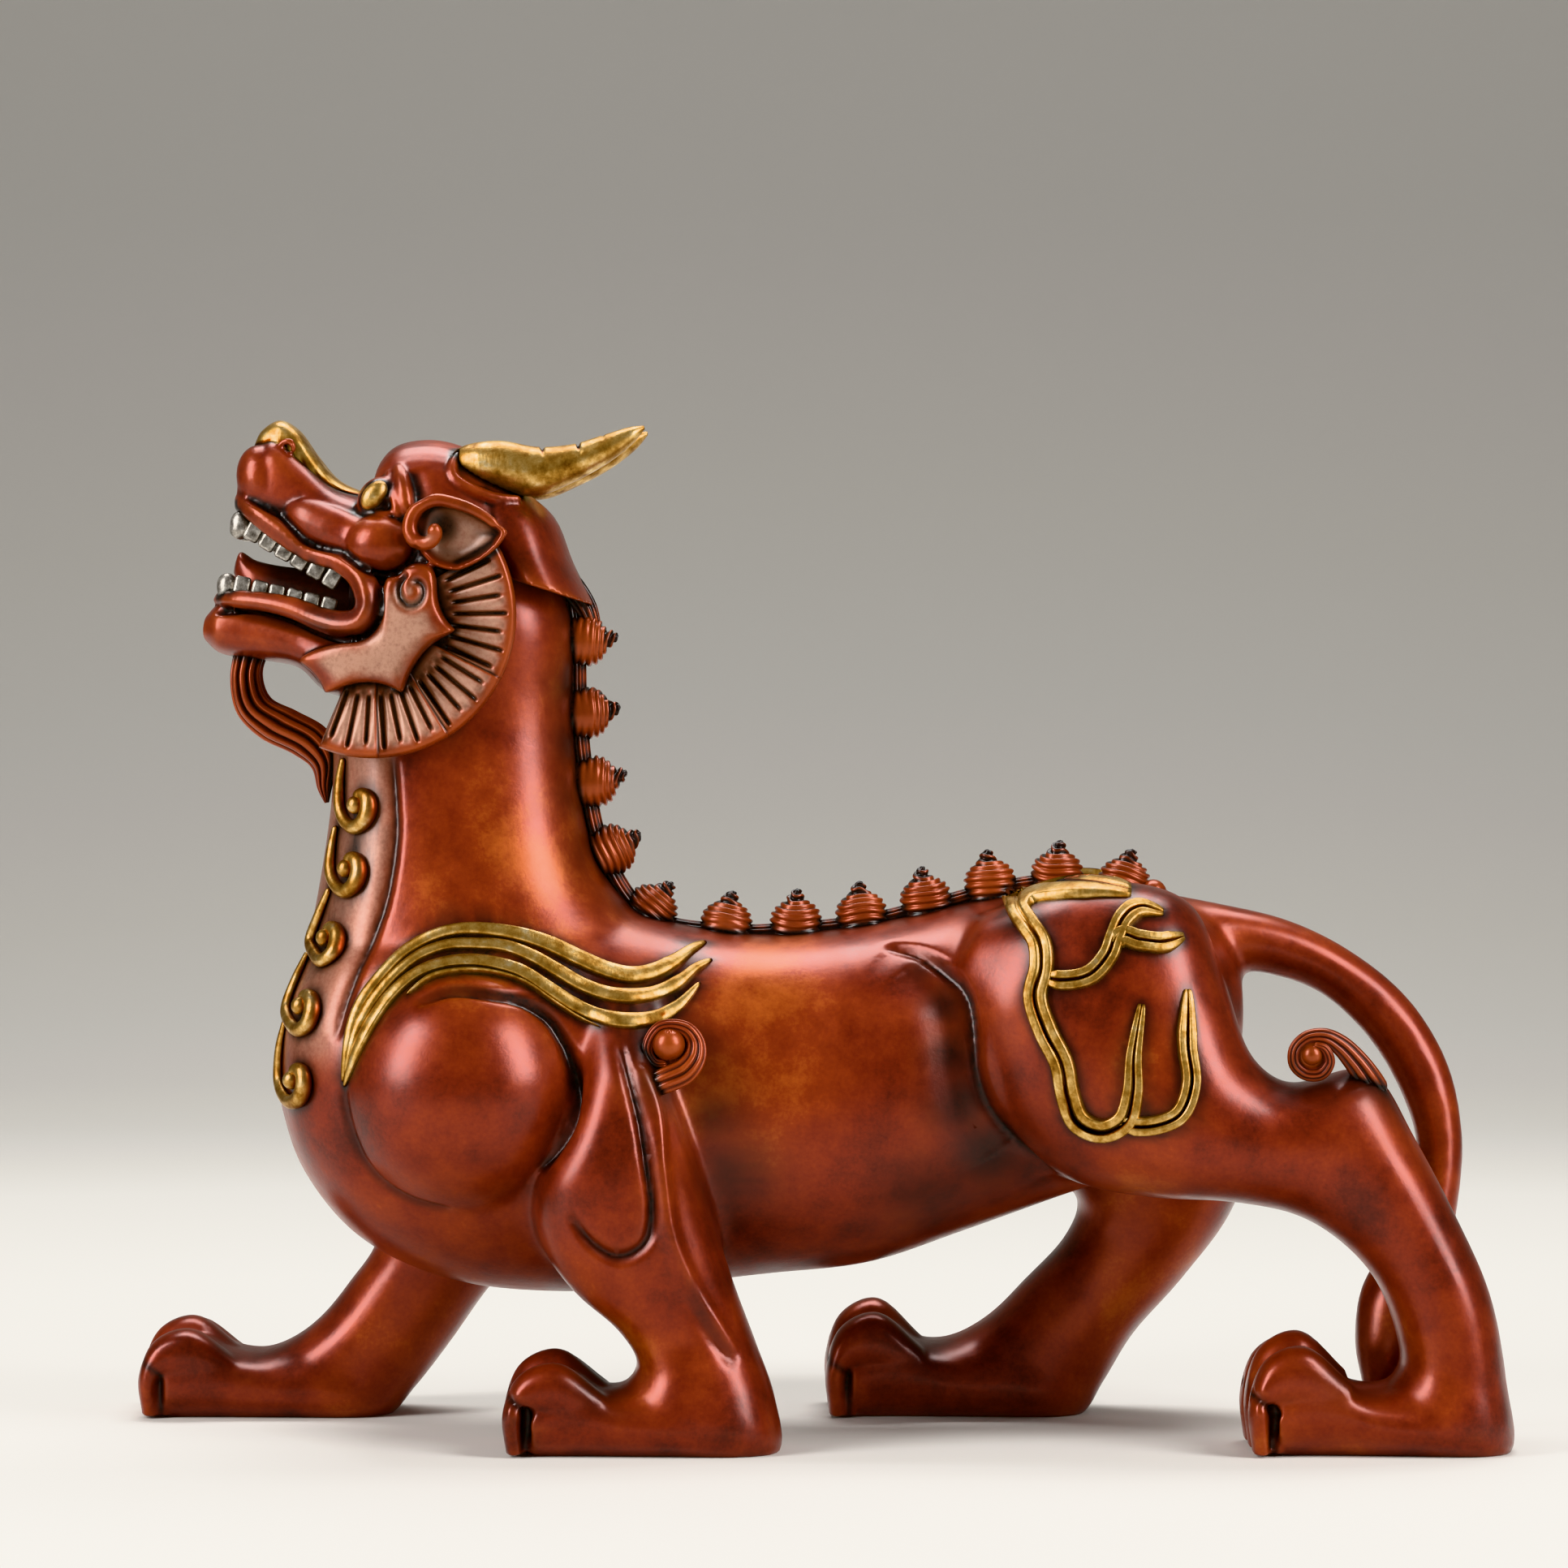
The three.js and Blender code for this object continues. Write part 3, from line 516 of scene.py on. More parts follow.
FAR_HIND_LEG = HIP + [
    [31, 33.5, 55.5, 58, 15.5, 12.8],
    [36.5, 29, 60.5, 43, 17, 11.5],
    [35, 24, 58, 28.6, 18.3, 10],
    [29.2, 17.6, 50.5, 18, 18.6, 9],
    [24.8, 13.2, 44, 10.6, 18.8, 9],
] + on_foot([
    [20.6, 10.6, 40, 4],
    [17.4, 9.8, 36.8, -0.5],
    [14.6, 10.2, 24, -1],
    [10.8, 13, 12.6, -1],
    [5.9, 11, 5.9, -1],
])
TAIL = [
    [45, 71.4, 46, 56, 0, 6.5],
    [54.5, 69.6, 54.5, 60.5, 0, 5.2],
    [63, 67.6, 61.4, 60, 0, 4.6],
    [71, 63.8, 67.6, 57.6, 0, 4.4],
    [79, 57.4, 73.6, 52, -0.6, 4.2],
    [84.4, 48.5, 77.8, 45, -1.4, 4],
    [86.2, 38.6, 80, 37.5, -2.4, 3.8],
    [85.4, 30, 78.4, 28.5, -3.6, 4.2],
    [83.6, 21.5, 72.8, 20, -5, 5],
    [80.6, 12.5, 71.6, 12.5, -6, 4.8],
    [76.6, 6, 72.6, 6.5, -6.4, 2.6],
]
SHOULDER = (-44.8, 14, 46.2)
SHOULDER_RADII = (16, 15, 16.4)
# Each foot's front, height and flank.
FEET = [
    (-35.6, FORE_FOOT_HEIGHT, NEAR),
    (-86.4, FORE_FOOT_HEIGHT, FAR),
    (59.6, HIND_FOOT_HEIGHT, NEAR),
    (5.9, HIND_FOOT_HEIGHT, FAR),
]


def toes(pad_front, height, flank):
    """Toes side by side, each arching over the front of the pad and ending in a hooked claw."""
    pitch = FOOT_WIDTH / TOES
    made = []
    for i in range(TOES):
        y = LEG_SPREAD + (i - (TOES - 1) / 2) * pitch
        middle = 1 - abs(2 * i / (TOES - 1) - 1)
        top = height * (0.92 + 0.08 * middle)
        half = pitch * 0.53
        made.append(ribbed([
            [pad_front + 9.5, top * 0.66, pad_front + 9, top * 0.3, y, half * 0.8],
            [pad_front + 3.4, top, pad_front + 3.4, top * 0.42, y, half],
            [pad_front - CLAW_REACH * 0.42, top * 0.86, pad_front + 0.4, top * 0.46, y, half],
            [pad_front - CLAW_REACH, top * 0.46, pad_front - CLAW_SLOT, top * 0.44, y, half],
            [pad_front - CLAW_REACH * 0.86, 0.3, pad_front - CLAW_SLOT, 0.3, y, half * 0.72],
        ], flank, sides=24, square=2.4))
    made.append(ribbed([
        [pad_front - WEB_FRONT, WEB_HEIGHT, pad_front + 1, WEB_HEIGHT, LEG_SPREAD, WEB_HALF_WIDTH],
        [pad_front - WEB_FRONT, 0.3, pad_front + 1, 0.3, LEG_SPREAD, WEB_HALF_WIDTH],
    ], flank, sides=24, square=3.5))
    return made


body_forms = [
    ribbed(TORSO, sides=64),
    ribbed(NECK, sides=64),
    ribbed(NEAR_FORE_LEG, NEAR, square=2.5),
    ribbed(FAR_FORE_LEG, FAR, square=2.5),
    ribbed(NEAR_HIND_LEG, NEAR, square=2.3),
    ribbed(FAR_HIND_LEG, FAR, square=2.3),
    ribbed(TAIL, square=2),
    *[ball(SHOULDER, SHOULDER_RADII, flank=flank, fine=48) for flank in FLANKS],
]
for foot in FEET:
    body_forms += toes(*foot)

# The skin is smoothed all over, and above the toes until the forms run into each other.
BODY_GRAIN = 0.42
SMOOTHING = 5
FLOWING = 22
TOE_TOP = 18.0
TOE_FADE = 8
body_mesh = cast(body_forms, "qilin_body", BODY_GRAIN, SMOOTHING)
relax(body_mesh, FLOWING, rise(corners(body_mesh)[:, 2] / MM, TOE_TOP, TOE_FADE))

# Lines of the body in the side view, carved on the near flank and, the main ones, on the far one.
SHOULDER_GROOVE = [(-50.5, 57.6), (-46, 59.2), (-41.2, 58.9), (-36.6, 57.8), (-33.2, 55.4), (-31, 51.6),
                   (-30, 47.4), (-30.2, 43), (-32, 39.4), (-34.6, 36)]
BALL_OUTLINE = [(-60, 47), (-59.4, 43), (-57.4, 37.4), (-54.6, 34.2), (-50.8, 32), (-46, 30.8)]
ARM_HOOK = [(-24.4, 53), (-23.2, 49), (-21.6, 43), (-20.6, 37), (-20, 31.5), (-21, 27.4), (-24.4, 25.6),
            (-27.8, 27.4), (-30.6, 31)]
FOREARM_RIDGE = [(-21.4, 50), (-19.6, 44), (-19, 37), (-17.6, 28), (-14.4, 20.5), (-9.6, 13)]
FOREARM_FLUTE = [(-15.6, 22.4), (-13.8, 18.4), (-11.6, 14.6), (-9.4, 11.6)]
HAUNCH_CREASE = [
    (10, 64.6), (14.4, 63.8), (17.6, 61.8), (19.9, 58.4), (21, 53.2), (21.6, 48.6), (23, 44.4),
    (26.4, 39.4), (32, 35),
]
HAUNCH_VALLEY = [(12, 62), (16.2, 59), (18, 54), (18.6, 48.6), (20, 43.6), (24, 37.6)]
PLATE_BORDER = [(-54.2, 90), (-53.7, 84), (-53.5, 78.8), (-54.5, 71.5), (-56, 66.5), (-58, 61.8),
                (-59.5, 57.7), (-60.8, 52.7)]
main_lines = [
    stroke(SHOULDER_GROOVE, 1.6, 0.75, tail=0.3),
    stroke(HAUNCH_VALLEY, 1.1, 3.4, tail=0.4, wax=0.2),
    stroke(HAUNCH_CREASE, 1.7, 0.7, lift=-0.9, reach=5, tail=0.3, wax=0.7),
    stroke(PLATE_BORDER, 0.7, 0.5, lift=-0.5, reach=1.8),
    stroke(FOREARM_RIDGE, -1.2, 1.1, tail=0.3, wax=0),
    stroke(FOREARM_FLUTE, 0.7, 1, tail=0.4, wax=0.5),
    stroke(ARM_HOOK, 1.3, 0.6, tail=0.2),
]
fine_lines = [stroke(BALL_OUTLINE, 0.6, 0.6, wax=0.6)]
claw_lines = []
for pad_front, _, flank in FEET:
    notch = [(pad_front - 3.6, 8.2), (pad_front - 1.8, 7), (pad_front, 5.6)]
    slot = [(pad_front - 0.4, 5.8), (pad_front - 0.4, 3), (pad_front - 0.4, 0.2)]
    claw_lines += [stroke(notch, 1.0, 0.42, flank, tail=0), stroke(slot, 1.4, 0.45, flank, tail=0)]
body_lines = main_lines + fine_lines + claw_lines + mirrored(main_lines)
carve(body_mesh, body_lines)

# Flat soles on the ground
body_places = corners(body_mesh)
body_places[:, 2] = np.maximum(body_places[:, 2], 0)
place_corners(body_mesh, body_places)
body_mesh = thinned(body_mesh)

# Head

SKULL = [
    [-59.5, 121, -60.5, 101, 0, 8.5],
    [-57.5, 124, -60.2, 98.4, 0, 10.1],
    [-56.4, 127.6, -58.8, 97, 0, 10.8],
    [-54.2, 129.9, -56.4, 96.2, 0, 11.8],
    [-49.6, 130.7, -52, 95.6, 0, 12.6],
    [-45, 129.6, -47, 96.4, 0, 12.4],
    [-40.5, 127, -42, 100, 0, 11.4],
    [-37, 122, -38.5, 106, 0, 9],
]
MUZZLE = [
    [-74.9, 126.4, -75.2, 121, 0, 3.6],
    [-73.6, 129, -73.6, 119.8, 0, 6.2],
    [-70, 131.2, -69.8, 118.2, 0, 7.6],
    [-66.4, 128.4, -65.6, 116, 0, 8.4],
    [-62, 124.6, -61.4, 113.2, 0, 9.6],
    [-57, 123, -56.5, 109, 0, 11],
]
JAW = [
    [-79.4, 107.4, -79.6, 104.4, 0, 4],
    [-77.4, 109.2, -77.6, 102.6, 0, 6.4],
    [-71.6, 108.4, -71.6, 101.6, 0, 7.8],
    [-66.4, 107, -67, 100.6, 0, 9],
    [-61, 106, -63.4, 97.4, 0, 11],
    [-55, 107, -57, 96.4, 0, 12.4],
]
# The edge of the mane that lies over the neck behind the ears.
CAPE = [
    [-48, 127, -39, 125, 0, 8],
    [-45, 119, -33.6, 120.6, 0, 11],
    [-42.6, 115.2, -31, 114.4, 0, 12.6],
    [-40.8, 112.8, -28.2, 108.8, 0, 13.8],
]
LIP = [
    (-74.5, 0, 122.3), (-73.9, 4.2, 122.1), (-72.1, 6.6, 120.8), (-69, 8, 118.6),
    (-64.7, 9.6, 115.5), (-61.3, 11.2, 114.4), (-58.4, 13, 112.6), (-57.1, 14, 110.3),
    (-57, 14.1, 108.4), (-58, 13.8, 106.7), (-60.2, 12.8, 106.2), (-63.3, 11.4, 106.9),
    (-67.1, 9.9, 108.4), (-70.8, 8.5, 109.2), (-74.9, 6.6, 109.6), (-76.6, 4, 109.7),
    (-77.3, 0, 109.7),
]
LIP_THICKNESS = 2.9
LIP_SHARES = [0.8, 0.85, 0.9, 1, 0.8, 0.8, 1, 1.1, 1.1, 1.1, 1.1, 1, 0.9, 0.8, 0.75, 0.75, 0.75]
CHEEK_ROLL = [
    (-68.2, 5, 121.4), (-65.6, 7.2, 120.4), (-62.8, 8.2, 119), (-59.6, 9.1, 117.7),
    (-56, 10.4, 116.8),
]
PLATE_TIPS = [
    ((-55.4, 106.6), (-55, 109.6)), ((-54.9, 112.2), (-53.8, 112.4)), ((-52.9, 112.4), (-52.6, 113.9)),
    ((-50.5, 114), (-48.2, 114)), ((-48.2, 111.4), (-48.4, 107.4)),
    ((-45.6, 105.4), (-51, 103.6)), ((-52.6, 97.4), (-57.4, 100.4)), ((-62.6, 97), (-63.4, 99.8)),
    ((-66.4, 101.6), (-64, 103.4)), ((-60.4, 103.8), (-56.4, 103.8)),
]
PLATE_MIDDLE = np.array([-54.5, 102.6])
PLATE_LEVELS = [[0, 17], [0.6, 16.9], [0.92, 16.3], [1, 15], [1, 12], [1, 8]]
PLATE_LEAN = (0.2, 0.0)
BROW = [(-53.6, 7.6, 127), (-52.9, 9.9, 125), (-52.4, 11.1, 122.6), (-52, 11.4, 120.4)]
BROW_STRAND = [(-54.9, 7.8, 126.4), (-54.3, 9.9, 124.6), (-53.8, 11.3, 122.2), (-53.3, 11.7, 120.2)]
HORN_SOCKET = [
    (-45.4, 6.4, 129), (-46.4, 8.3, 127.2), (-46.2, 9.4, 125.4), (-44.2, 9.8, 123.9),
    (-40.8, 9.6, 122.7), (-37.4, 8.6, 122.6),
]
LOWER_LID = [(-59, 9, 120.5), (-57.4, 10.3, 120.6), (-55.6, 11.2, 120.5), (-54.2, 11.6, 120.6)]
NOSTRIL_RING = [
    (-67.5, 5.8, 128.6), (-67.4, 5.9, 129.5), (-67.8, 5.8, 130.2), (-68.5, 5.6, 130.3),
    (-69.1, 5.5, 129.8), (-69.2, 5.6, 129.1), (-68.8, 5.8, 128.6), (-68.2, 5.9, 128.5),
]
EAR_TIPS = [
    ((-51, 118), (-50.6, 122.6)), ((-48.2, 122.6), (-44, 122.4)), ((-38.9, 118.2), (-40.4, 114.8)),
    ((-45.4, 113.2), (-50.2, 113.2)),
]
EAR_MIDDLE = np.array([-45.4, 117.6])
EAR_LEVELS = [[0, 13.1], [0.45, 13.4], [0.78, 14.6], [0.94, 15.8], [1, 15.4], [0.96, 13], [0.7, 10]]
EAR_LEAN = (0.16, 0.0)
EAR_CURL = [
    (-40.2, 16.2, 118.9), (-42.6, 16, 120.6), (-45.6, 15.8, 121.8), (-48.6, 15.6, 122.2),
    (-50.9, 15.4, 120.8), (-51.6, 15.4, 118.4), (-50.6, 15.8, 116.8), (-48.9, 16.4, 116.8),
    (-48.1, 16.9, 118), (-49, 17.3, 118.9),
]
EAR_CURL_GIRTH = [0.6, 0.75, 0.85, 0.9, 0.95, 1.0, 1.0, 0.95, 0.95, 1.1]
NOSTRIL_GIRTH = [0.3, 0.42, 0.45, 0.45, 0.42, 0.4, 0.35, 0.3]
# Swellings of the head: place, radii and turn in the side view.
NOSE_WING = ((-71.6, 3.4, 125.4), (3.5, 4, 4.6), 0.2)
CHEEK = ((-55.6, 10.6, 116.6), (4.8, 4.2, 3.9), -0.15)
EYE_BED = ((-56.3, 9.0, 122.8), (3.0, 2.6, 2.3), 0.9)
JAW_CORNER = ((-56.0, 9.6, 107.6), (2.8, 4.4, 6), 0.0)


def flanked(points, flank):
    return [(x, y * flank, z) for x, y, z in points]


def head_side(flank):
    """The forms of one side of the head."""
    half_lip = LIP_THICKNESS / 2
    lip_girths = [share * half_lip for share in LIP_SHARES]
    return [
        bar(flanked(LIP, flank), lip_girths, sides=28, steps=110, square=3.4),
        bar(flanked(CHEEK_ROLL, flank), [1.6, 2.7, 3, 3, 3.6], sides=24),
        ball(*NOSE_WING, flank),
        ball(*CHEEK, flank),
        ball(*EYE_BED, flank),
        bar(flanked(BROW, flank), [0.7, 1.1, 1.2, 0.9], sides=20, steps=30),
        bar(flanked(BROW_STRAND, flank), [0.4, 0.5, 0.55, 0.5], steps=30),
        bar(flanked(LOWER_LID, flank), [0.4, 0.5, 0.5, 0.4], steps=30),
        bar(flanked(HORN_SOCKET, flank), [0.5, 0.6, 0.75, 0.85, 0.8, 0.5], steps=40),
        bar(flanked(NOSTRIL_RING, flank), NOSTRIL_GIRTH, sides=14, steps=40),
        ball(*JAW_CORNER, flank),
        domed(outline_of(PLATE_TIPS), PLATE_MIDDLE, PLATE_LEVELS, flank, PLATE_LEAN),
        domed(outline_of(EAR_TIPS), EAR_MIDDLE, EAR_LEVELS, flank, EAR_LEAN),
        bar(flanked(EAR_CURL, flank), EAR_CURL_GIRTH, steps=70),
    ]


head_forms = [
    ribbed(SKULL, sides=48, square=2.4),
    ribbed(MUZZLE, square=2.5),
    ribbed(JAW, square=2.5),
    ribbed(CAPE, sides=56),
]
for flank in FLANKS:
    head_forms += head_side(flank)

HEAD_GRAIN = 0.3
head_mesh = cast(head_forms, "qilin_head", HEAD_GRAIN, SMOOTHING)

CHEEK_UNDER = [(-60.4, 115.6), (-57.4, 113.3), (-54.4, 112.6), (-51.8, 114), (-50.6, 116.4)]
LIP_EDGE = [
    (-77.8, 107.9), (-74.6, 108.1), (-70.7, 107.7), (-67.1, 106.6), (-63.3, 105), (-60.4, 104.2),
    (-57.4, 104.5), (-55.5, 106.6), (-55.1, 109.2), (-55.3, 111.2),
]
MUZZLE_EDGE = [
    (-73.6, 122.9), (-70.8, 121.4), (-68.6, 120.2), (-67.2, 118.7), (-65.7, 117.1), (-63.4, 116.2),
    (-60.4, 115.6),
]
BOSS_SPIRAL = [
    (-51.2, 111.6), (-50.6, 111.8), (-49.8, 111.1), (-49.7, 109.9), (-50.4, 108.9), (-51.6, 108.6),
    (-52.6, 109.3), (-53, 110.4), (-52.8, 111.8), (-52, 112.8),
]
BROW_BACK = [(-51.4, 126.4), (-50.6, 124.4), (-50.2, 122)]
head_lines = [
    stroke(CHEEK_UNDER, 0.6, 0.5),
    stroke(LIP_EDGE, 1.0, 0.42, tail=0.08),
    stroke(MUZZLE_EDGE, 0.5, 0.45, tail=0.3, wax=0.7),
    stroke(BOSS_SPIRAL, 1.1, 0.36, tail=0.05),
    stroke(BROW_BACK, 0.4, 1.2, tail=0.4, wax=0),
]
head_lines += mirrored(head_lines)
carve(head_mesh, head_lines)
head_mesh = thinned(head_mesh)

body_skin = tree_of(body_mesh)

# Spine: coiled knots of hair on a dark plaited cord, from the cape down to the tail.

KNOT_SIDES = 44
KNOT_RINGS = 90
KNOT_STARTS = 2
KNOT_PITCH = 0.98
KNOT_GROOVE = 0.38
KNOT_NARROWING = 0.86
KNOT_TURN = 0.37
# The knots on the neck lean up and those on the back towards the tail. Calm is how far the grooves
# of each fade on its two flanks.
NECK_KNOTS = 4
NECK_LEAN = -2.4
BACK_LEAN = 2.2
KNOT_CALM = [0.95, 1.0, 0.95, 0.3, 0.1, 0.85, 0.5, 0.3, 0.2, 0.4, 0.2, 0.3]
# Radius and height up a knot, from its foot to its tip.
KNOT_LEVELS = [
    (3.2, -1.1), (3.45, 0), (3.5, 1.2), (3.35, 2.4), (2.8, 3.3), (2.0, 3.9), (1.4, 4.3),
    (1.15, 4.8), (0.85, 5.3), (0.45, 5.6), (0.02, 5.75),
]
SPINE = [
    (-31, 110), (-30.8, 104.2), (-30.5, 94.6), (-29.5, 85.4), (-27.2, 76.1), (-21.4, 67.8),
    (-11, 65.6), (-1.6, 65.8), (7.2, 66.8), (15.8, 68.8), (24.2, 71), (32.8, 72.2), (41.4, 71.2),
    (46, 70),
]
LAST_BEAD = ((45.4, -1.4, 70.9), (1.8, 2, 1.9))
NAPE_LOCK = [(-32.6, 0, 112.5), (-29.6, 0, 108.6), (-28.4, 0, 105.4)]


def knot(foot, way, side, turn, lean, calm):
    """A knob of hair that stands on its foot along a way, with grooves winding up it from several
    starts, and leans to its side towards the tip."""
    way = np.asarray(way, float) / np.linalg.norm(way)
    side = np.asarray(side, float) / np.linalg.norm(side)
    shape, angle, share = tube(KNOT_SIDES, KNOT_RINGS)
    levels = along(KNOT_LEVELS, KNOT_RINGS + 1)
    step = np.gradient(levels, axis=0)
    length = np.cumsum(np.linalg.norm(step, axis=1))
    step = unit(step)
    top = levels[:, 1].max()
    ring = np.rint(share * KNOT_RINGS).astype(int)
    radius, height = levels[ring].T
    phase = length[ring] / KNOT_PITCH + KNOT_STARTS * angle / (2 * np.pi) + turn
    # Strands laid by hand are never quite even.
    phase = phase + 0.16 * np.sin(2 * angle + 9 * turn) + 0.1 * np.sin(3 * angle + 5 * turn)
    groove = KNOT_GROOVE * (np.abs(np.cos(np.pi * phase)) ** 3) * rise(radius, 0, 0.8)
    groove = groove * (1 - calm * np.abs(np.sin(angle)) ** 1.5 * np.clip(1.7 - height / top / 0.4, 0, 1))
    radius = np.maximum(radius - groove * step[ring, 1], 0.004)
    height = height + groove * step[ring, 0]
    shift = lean * np.clip(height / top - 0.55, 0, 1) ** 2
    return settle(shape, (
        np.asarray(foot, float)
        + way * height[:, None]
        + side * (radius * np.cos(angle) + shift)[:, None]
        + np.cross(way, side) * (radius * np.sin(angle) * KNOT_NARROWING)[:, None]
    ))


knot_shapes = []
for i in range(1, len(SPINE) - 1):
    (x, z), before, after = SPINE[i], SPINE[i - 1], SPINE[i + 1]
    run = (after[0] - before[0], 0, after[1] - before[1])
    lean = NECK_LEAN if i <= NECK_KNOTS else BACK_LEAN
    knot_shapes.append(knot((x, 0, z), (-run[2], 0, run[0]), run, KNOT_TURN * i, lean, KNOT_CALM[i - 1]))
knot_shapes.append(ball(*LAST_BEAD))
knot_shapes.append(bar(NAPE_LOCK, [2.2, 1.7, 1.2], sides=60, steps=40, locks=12, lock_depth=0.14))
cord_path = [(-32, 0, 113)] + [(x, 0, z) for x, z in SPINE[1:]]
cord_shape = bar(cord_path, [1.35] * len(SPINE), sides=60, steps=260, locks=14, lock_depth=0.16)

# Curls of hair at the elbows and the hocks: a lock runs up out of the leg and rolls round a knob.
# Each place in a roll is across, up and out from the middle of its knob.

ELBOW_ROLL = [
    (-3, -5.6, 0), (-0.6, -4.6, 1.2), (2, -3.4, 0.9), (3.3, -1.6, 0.3), (3.4, 0.3, 0),
    (2.4, 1.8, 0), (0.6, 2.4, 0), (-1.2, 2.1, 0), (-2.4, 0.7, 0.2), (-2.7, -0.9, 0.3),
    (-1.8, -2.3, 0.3), (-0.2, -2.5, 0.2),
]
ELBOW_GIRTHS = [1.5, 1.7, 1.7, 1.5, 1.2, 1.0, 0.85, 0.8, 0.75, 0.75, 0.7, 0.5]
HOCK_ROLL = [
    (9, -5.6, -2.6), (7.3, -3, -1.5), (5.5, -0.6, -0.9), (3.6, 1.3, -0.4), (1.6, 2.4, 0),
    (-0.6, 2.2, 0), (-2.1, 0.7, 0), (-2.1, -1.2, 0), (-0.7, -2.4, 0), (1.2, -2.3, 0.2),
    (2.2, -0.8, 0.5), (1.6, 0.8, 0.7), (0.2, 1.4, 0.7),
]
HOCK_GIRTHS = [1.8, 1.8, 1.6, 1.35, 1.05, 0.9, 0.85, 0.85, 0.9, 0.9, 0.75, 0.6, 0.4]
CURL_BED = (2.7, 2.4, 2.7)
# Each curl's middle, roll, girths, knob and flank.
CURLS = [
    ((-18, 22.6, 52.4), ELBOW_ROLL, ELBOW_GIRTHS, 2.1, NEAR),
    ((-18, 22.6, 52.4), ELBOW_ROLL, ELBOW_GIRTHS, 2.1, FAR),
    ((64.2, 23.4, 51.1), HOCK_ROLL, HOCK_GIRTHS, 1.35, NEAR),
    ((58.4, 24.4, 42), HOCK_ROLL, HOCK_GIRTHS, 1.35, FAR),
]
curl_shapes = []
for (x, y, z), roll, girths, knob, flank in CURLS:
    places = [(x + dx, (y + dy) * flank, z + dz) for dx, dz, dy in roll]
    tip = (x + 0.1, (y + 0.75 * knob) * flank, z + 0.9 * knob)
    curl_shapes += [
        bar(places, girths, sides=72, steps=150, locks=8, lock_depth=0.26),
        ball((x, y - 1.6, z), CURL_BED, flank=flank, fine=40),
        ball((x, y + 0.3, z), (knob, knob, knob), flank=flank, fine=40),
        bar([(x, y * flank, z), tip], [knob * 0.75, 0.3]),
    ]

# Wing over the shoulder: three gilt bands and the thin edge of their bed, each with its width.

BAND_THICKNESS = 0.95
BANDS = [
    (1.85, [
        (-59.9, 47.4), (-58.9, 53.6), (-57.6, 57.4), (-55.4, 60.5), (-52.1, 63.9), (-48.3, 66.1),
        (-44.9, 66.9), (-41.1, 66.8), (-37.3, 66.1), (-33.5, 64.8), (-29.7, 63), (-25.9, 61.4),
        (-23.1, 60.8), (-20.2, 61.2), (-17.4, 62.5), (-15.2, 64), (-13.4, 64.8),
    ]),
    (1.65, [
        (-59.6, 48.4), (-58.1, 53.7), (-56.4, 57), (-53.8, 60.4), (-50.2, 63.4), (-46.4, 64.8),
        (-42.6, 64.9), (-39.2, 64.6), (-35.9, 63.4), (-32.6, 61.6), (-29.3, 59.7), (-25.9, 58.5),
        (-22.6, 58.2), (-19.7, 58.6), (-16.9, 59.9), (-14.6, 61.7), (-12.6, 62.7),
    ]),
    (1.75, [
        (-59.7, 46.8), (-57.8, 51.5), (-56.1, 54.8), (-53.8, 58.2), (-50.7, 61), (-47.3, 62.4),
        (-43.5, 62.8), (-39.7, 62.3), (-36.9, 61.4), (-33.5, 59.3), (-30.2, 57.2), (-26.9, 55.8),
        (-23.1, 55.2), (-19.7, 55.6), (-16.9, 57), (-14.1, 59.9),
    ]),
    (0.36, [
        (-51.6, 58.6), (-48.2, 60.7), (-43.8, 61.4), (-39.8, 61), (-36.4, 59.9), (-33, 57.7),
        (-29.8, 55.7), (-26.8, 54.5),
    ]),
]


def band_crown(u):
    return 0.55 + 0.45 * np.sqrt(np.clip(1 - u * u, 0, 1))


def band_taper(share):
    ends = np.clip(np.minimum(share / 0.12, (1 - share) / 0.1), 0, 1)
    broad = 0.7 + 0.3 * rise(share, 0.3, 0.35)
    return (0.16 + 0.84 * ends ** 0.7) * broad, 0.15 + 0.85 * ends ** 0.5


band_shapes = [
    laid(path, flank, body_skin, width, BAND_THICKNESS, band_crown, band_taper, steps=150, sides=28)
    for flank in FLANKS for width, path in BANDS
]

# Flame on the haunch: a flat gilt ribbon with a dark line along its middle.

FLAME_WIDTH = 3.05
FLAME_THICKNESS = 1.05
FORK_SHARE = 0.82
FLAME = [
    ("main", [
        (41.4, 71.9), (37, 72.5), (31.5, 72.3), (28, 71.5), (27, 69.6), (28.2, 67.5),
        (29.5, 65.4), (29.7, 62.3), (28.9, 58.6), (30.2, 54.3), (32.2, 50.2), (33, 46.2),
        (34.4, 42.9), (37.4, 41.7), (40, 43), (41, 46.4), (41.2, 51.4), (42.2, 57.8),
    ]),
    ("fork", [
        (39.4, 43), (41.4, 42.4), (44.3, 42.6), (47, 43.9), (48.4, 47.6), (47.9, 52.8),
        (48.1, 59.6),
    ]),
    ("fork", [
        (29.8, 61.1), (32.4, 60.7), (35.7, 61.4), (38, 63.8), (39, 66.2), (40.2, 68.4),
        (42.1, 69.6), (45.3, 69.2),
    ]),
    ("fork", [
        (38.6, 65.2), (40, 66.2), (41.9, 65.7), (45.1, 65.4), (47.8, 66.2),
    ]),
]


def flame_crown(u):
    edge = quarter_round(rise(1 - np.abs(u), 0, 0.2))
    return (0.45 + 0.55 * edge) * (1 - 0.5 * np.exp(-((u / 0.15) ** 2)))


def flame_taper(share):
    end = rise(1 - share, 0, 0.22)
    start = 0.4 + 0.6 * rise(share, 0, 0.09) ** 0.7
    return (0.3 + 0.7 * end ** 0.7) * start, (0.25 + 0.75 * end ** 0.6) * start


